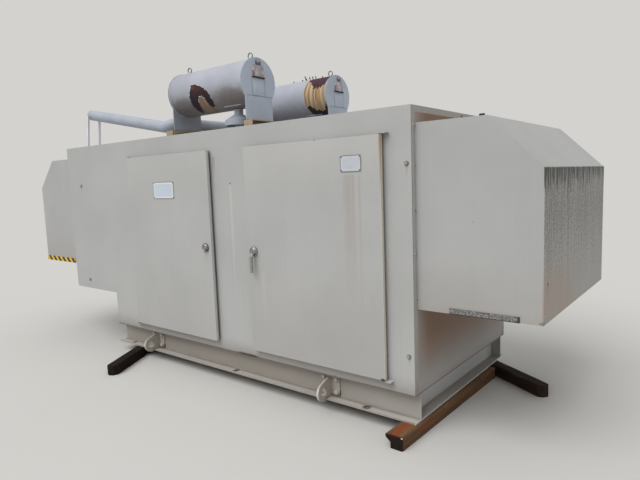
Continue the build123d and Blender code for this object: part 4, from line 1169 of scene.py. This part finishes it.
class AddSilencerScale(bpy.types.Operator):
    """Add the burnt and rusted patches on the silencers, and the flakes that came off them"""
    bl_idname = "generator.add_silencer_scale"
    bl_label = "Silencer scale"

    def execute(self, context):
        seed = context.scene.generator_stage.seed
        thickness = context.scene.generator_sizes.scale_thickness
        low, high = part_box("silencer_front_drum")
        middle_z = (low.z + high.z) / 2 / MM
        maroon = burnt_scale("burnt_mill_scale_front", ("#27121A", "#441C1E", "#532C2A"), [
            (past, "#1C0F1D", 2, middle_z, middle_z - 100, 0.9, 30),
            (past, "#1C0F1D", 0, 10, -50, 0.85, 20),
            (spot, "#6E3428", (-8, low.y / MM, middle_z + 10), (46, 60, 20), 0.5)])
        front_bloom = scorched_primer("scorched_primer_front", (40, 400, 400),
                                      ("#8A705A", "#7A6A60", "#5F483A", "#95877A"))
        self.patch("silencer_front_bloom", low, high, FRONT_BLOOM, thickness * 0.6, seed + 30, front_bloom)
        edge = self.patch("silencer_front_scale", low, high, FRONT_SCALE, thickness, seed, maroon)
        self.lifted_paint(edge)
        low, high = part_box("silencer_back_drum")
        maroon = burnt_scale("burnt_mill_scale_back", ("#341A2A", "#48232F", "#5E373E"), [
            (past, "#22121A", 2, middle_z - 50, middle_z - 100, 0.9, 20)])
        back_bloom = scorched_primer("scorched_primer_back", (34, 500, 500),
                                     ("#B8A687", "#A4855E", "#83603F", "#B9AE9C"),
                                     [(past, "#AE9C9C", 0, 566, 580, 0.7, 4),
                                      (past, "#8F8168", 2, middle_z - 40, middle_z - 120, 0.5, 20)])
        self.patch("silencer_back_bloom", low, high, BACK_BLOOM, thickness * 0.6, seed + 31, back_bloom)
        self.patch("silencer_back_scale", low, high, BACK_TOP, thickness, seed + 1, maroon)
        self.patch("silencer_back_belly", low, high, BACK_BELLY, thickness, seed + 2, maroon)
        self.loose_flakes(low, high)
        return {"FINISHED"}

    def patch(self, name, low, high, outline, thickness, seed, material):
        """One patch as a piece; returns the places round its edge."""
        bm = bmesh.new()
        edge = skin_patch(bm, low, high, outline, thickness, seed)
        new_piece(name, bm, material, "housing", 60)
        return edge

    def lifted_paint(self, edge):
        """The pale edge of paint that curls up along the front patch, in lengths with gaps between them."""
        pale = heat_paint("lifted_paint_edge", "#C8C9D0")
        lowest_z = 2.4
        fewest_points = 4
        radius = 2.4 * MM
        bm = bmesh.new()
        run = []
        for place in edge:
            curled = noise.noise(place * 55) > -0.1 and place.z > lowest_z
            if curled:
                run.append(place)
            if run and (not curled or place is edge[-1]):
                if len(run) >= fewest_points:
                    tube(bm, run, radius, 6)
                run = []
        new_piece("silencer_front_paint_edge", bm, pale, "housing", 60)

    def loose_flakes(self, low, high):
        """Curled flakes of scale standing along the top of the back drum."""
        black = burnt_scale("loose_burnt_flakes", ("#1C1616", "#33262A", "#4A3A38"))
        bm = bmesh.new()
        for x, width, height in FLAKES:
            foot = on_drum(low, high, x * MM, 14, -3 * MM)
            self.flake(bm, foot, width * MM, height * MM)
        new_piece("silencer_back_flakes", bm, black, "housing", 60)

    def flake(self, bm, foot, width, height):
        """One flake 2 mm thick that stands on the skin, widest near its top and curling forward."""
        rows = []
        for step in range(7):
            share = step / 6
            middle = foot + Vector((0, -0.3 * height * share ** 2, height * share + 3 * MM * share))
            half = width / 2 * (0.25 + 0.75 * sin(pi * 0.85 * share ** 2))
            rows.append([bm.verts.new(middle + Vector((side * half, depth * MM, 0)))
                         for side, depth in ((-1, -1), (1, -1), (1, 1), (-1, 1))])
        for lower, upper in zip(rows, rows[1:]):
            for at in range(4):
                bm.faces.new((lower[at], lower[(at + 1) % 4], upper[(at + 1) % 4], upper[at]))
        bm.faces.new(rows[0])
        bm.faces.new(rows[-1])


class AddSkidFittings(bpy.types.Operator):
    """Add the bolts and welds of the lifting lugs"""
    bl_idname = "generator.add_skid_fittings"
    bl_label = "Skid fittings"

    def execute(self, context):
        sizes = context.scene.generator_sizes
        colour = context.scene.generator_colours.skid
        bolt_paint = weathered_enamel("brushed_enamel_bolts", shade(colour, 1.45))
        weld_paint = weathered_enamel("brushed_enamel_welds", colour)
        base_y = 752 * MM
        bolt_aside = 58 * MM
        bolt_zs = (SKID_LOW.z + 50 * MM, SKID_LOW.z + 150 * MM)
        plate_half = 8 * MM
        weld_foot = SKID_LOW.z + 34 * MM
        weld_top = SKID_LOW.z + 166 * MM
        bolts = bmesh.new()
        welds = bmesh.new()
        for x in LUG_XS:
            for outward in (-1, 1):
                y = outward * base_y
                for z in bolt_zs:
                    for aside in (-bolt_aside, bolt_aside):
                        hex_bolt(bolts, (x * MM + aside, y, z), (0, outward, 0), sizes.lug_bolt)
                for aside in (-plate_half, plate_half):
                    line = straight((x * MM + aside, y, weld_foot), (x * MM + aside, y, weld_top))
                    tube(welds, line, sizes.weld_radius, 8, False, 0.2)
        new_piece("lug_bolts", bolts, bolt_paint, "housing")
        new_piece("lug_welds", welds, weld_paint, "housing")
        return {"FINISHED"}


class AddStage(bpy.types.Operator):
    """Set up the floor, the light and the camera"""
    bl_idname = "generator.add_stage"
    bl_label = "Floor, light and camera"

    def execute(self, context):
        settings = context.scene.generator_stage
        colours = context.scene.generator_colours
        self.add_floor(colours)
        self.add_light(context.scene, settings, colours)
        self.add_camera(context.scene, settings)
        return {"FINISHED"}

    def seen_directly(self, tree):
        """1 for what the camera sees, also in a mirror or through glass, and 0 for light on things."""
        rays = add_node(tree, "LightPath").node.outputs
        seen = add_node(tree, "Math", {0: rays["Is Camera Ray"], 1: rays["Is Glossy Ray"]},
                        operation="MAXIMUM")
        return add_node(tree, "Math", {0: seen, 1: rays["Is Transmission Ray"]}, operation="MAXIMUM")

    def add_floor(self, colours):
        """A pale floor that takes the shadow and melts into the backdrop far away."""
        bm = bmesh.new()
        lathe(bm, [(0, 0), (9, 0), (60, 0)], (0, 0, -0.5 * MM), (0, 0, 1), 96)
        mesh = bpy.data.meshes.new("studio_floor")
        bm.to_mesh(mesh)
        bm.free()
        material, tree, shader, place = start_material("matt_studio_vinyl", 0.9)
        cloud = grain(tree, place, (1800, 1800, 1800))
        tone = coat(tree, shade(colours.floor, 0.985), shade(colours.floor, 1.015), cloud, 0.0, 1.0)
        tree.links.new(tone, shader.inputs["Base Color"])
        glow = add_node(tree, "Emission", {"Color": shade(colours.backdrop), "Strength": 1.0})
        away = add_node(tree, "VectorMath", {0: place}, "Value", operation="LENGTH")
        far = add_node(tree, "MapRange", {"Value": away, "From Min": 4.5, "From Max": 14.0},
                       interpolation_type="SMOOTHSTEP")
        share = add_node(tree, "Math", {0: far, 1: self.seen_directly(tree)}, operation="MULTIPLY")
        surface = add_node(tree, "MixShader", {0: share, 1: shader.outputs[0], 2: glow})
        tree.links.new(surface, tree.nodes["Material Output"].inputs["Surface"])
        mesh.materials.append(material)
        floor = bpy.data.objects.new("studio_floor", mesh)
        bpy.context.scene.collection.objects.link(floor)

    def add_light(self, scene, settings, colours):
        """Light from all round, stronger from above, with one broad soft sun from the front."""
        world = bpy.data.worlds.new("studio")
        world.use_nodes = True
        scene.world = world
        tree = world.node_tree
        direction = add_node(tree, "TexCoord", out="Generated")
        height = add_node(tree, "SeparateXYZ", {0: direction}, "Z")
        level = add_node(tree, "MapRange", {"Value": height, "To Min": settings.horizon,
                                            "To Max": settings.zenith})
        lighting = add_node(tree, "Background", {"Color": (1, 1, 1, 1), "Strength": level})
        backdrop = add_node(tree, "Background", {"Color": shade(colours.backdrop), "Strength": 1.0})
        sky = add_node(tree, "MixShader", {0: self.seen_directly(tree), 1: lighting, 2: backdrop})
        tree.links.new(sky, tree.nodes["World Output"].inputs["Surface"])
        lamp = bpy.data.lights.new("soft_sun", "SUN")
        lamp.energy = settings.sun
        lamp.angle = radians(50)
        sun = bpy.data.objects.new("soft_sun", lamp)
        scene.collection.objects.link(sun)
        sun.matrix_world = Vector((-0.06, -0.62, 0.78)).to_track_quat("Z", "Y").to_matrix().to_4x4()
        scene.view_settings.view_transform = "Standard"

    def add_camera(self, scene, settings):
        """The photograph's viewpoint: near the right end, at the height of the hood's edge."""
        forward = Vector((cos(CAMERA_PITCH) * cos(CAMERA_YAW), cos(CAMERA_PITCH) * sin(CAMERA_YAW),
                          sin(CAMERA_PITCH)))
        right = Vector((sin(CAMERA_YAW), -cos(CAMERA_YAW), 0))
        up = right.cross(forward)
        rolled_right = cos(CAMERA_ROLL) * right + sin(CAMERA_ROLL) * up
        rolled_up = cos(CAMERA_ROLL) * up - sin(CAMERA_ROLL) * right
        place = Matrix((rolled_right, rolled_up, -forward)).transposed().to_4x4()
        place.translation = CAMERA_PLACE
        lens = bpy.data.cameras.new("photo_view")
        lens.lens = settings.lens
        lens.sensor_width = 36
        lens.clip_end = 200
        camera = bpy.data.objects.new("photo_view", lens)
        scene.collection.objects.link(camera)
        camera.matrix_world = place
        scene.camera = camera


STEPS = (
    AddStage, DressHousing, DressHoods, DressSkid, DressExhaust, DressDoorFittings, AddDoorSeals,
    AddWallFixings, AddSilencerFittings, AddSilencerScale, AddSkidFittings,
)
SETTINGS = (FinishColours, FittingSizes, StageSettings)


class GeneratorPanel(bpy.types.Panel):
    """Lists the steps that dress the generator set"""
    bl_idname = "VIEW3D_PT_generator"
    bl_label = "Generator set"
    bl_space_type = "VIEW_3D"
    bl_region_type = "UI"
    bl_category = "Generator"

    def draw(self, context):
        for step in STEPS:
            self.layout.operator(step.bl_idname)
        for group in (context.scene.generator_colours, context.scene.generator_sizes,
                      context.scene.generator_stage):
            box = self.layout.box()
            for name in group.__annotations__:
                box.prop(group, name)


def register():
    for kind in (*SETTINGS, *STEPS, GeneratorPanel):
        bpy.utils.register_class(kind)
    bpy.types.Scene.generator_colours = PointerProperty(type=FinishColours)
    bpy.types.Scene.generator_sizes = PointerProperty(type=FittingSizes)
    bpy.types.Scene.generator_stage = PointerProperty(type=StageSettings)


def unregister():
    del bpy.types.Scene.generator_stage
    del bpy.types.Scene.generator_sizes
    del bpy.types.Scene.generator_colours
    for kind in reversed((*SETTINGS, *STEPS, GeneratorPanel)):
        bpy.utils.unregister_class(kind)


def main():
    """Dress the whole set."""
    register()
    for step in STEPS:
        group, name = step.bl_idname.split(".")
        getattr(getattr(bpy.ops, group), name)()
    bpy.context.view_layer.update()


if __name__ == "__main__":
    main()
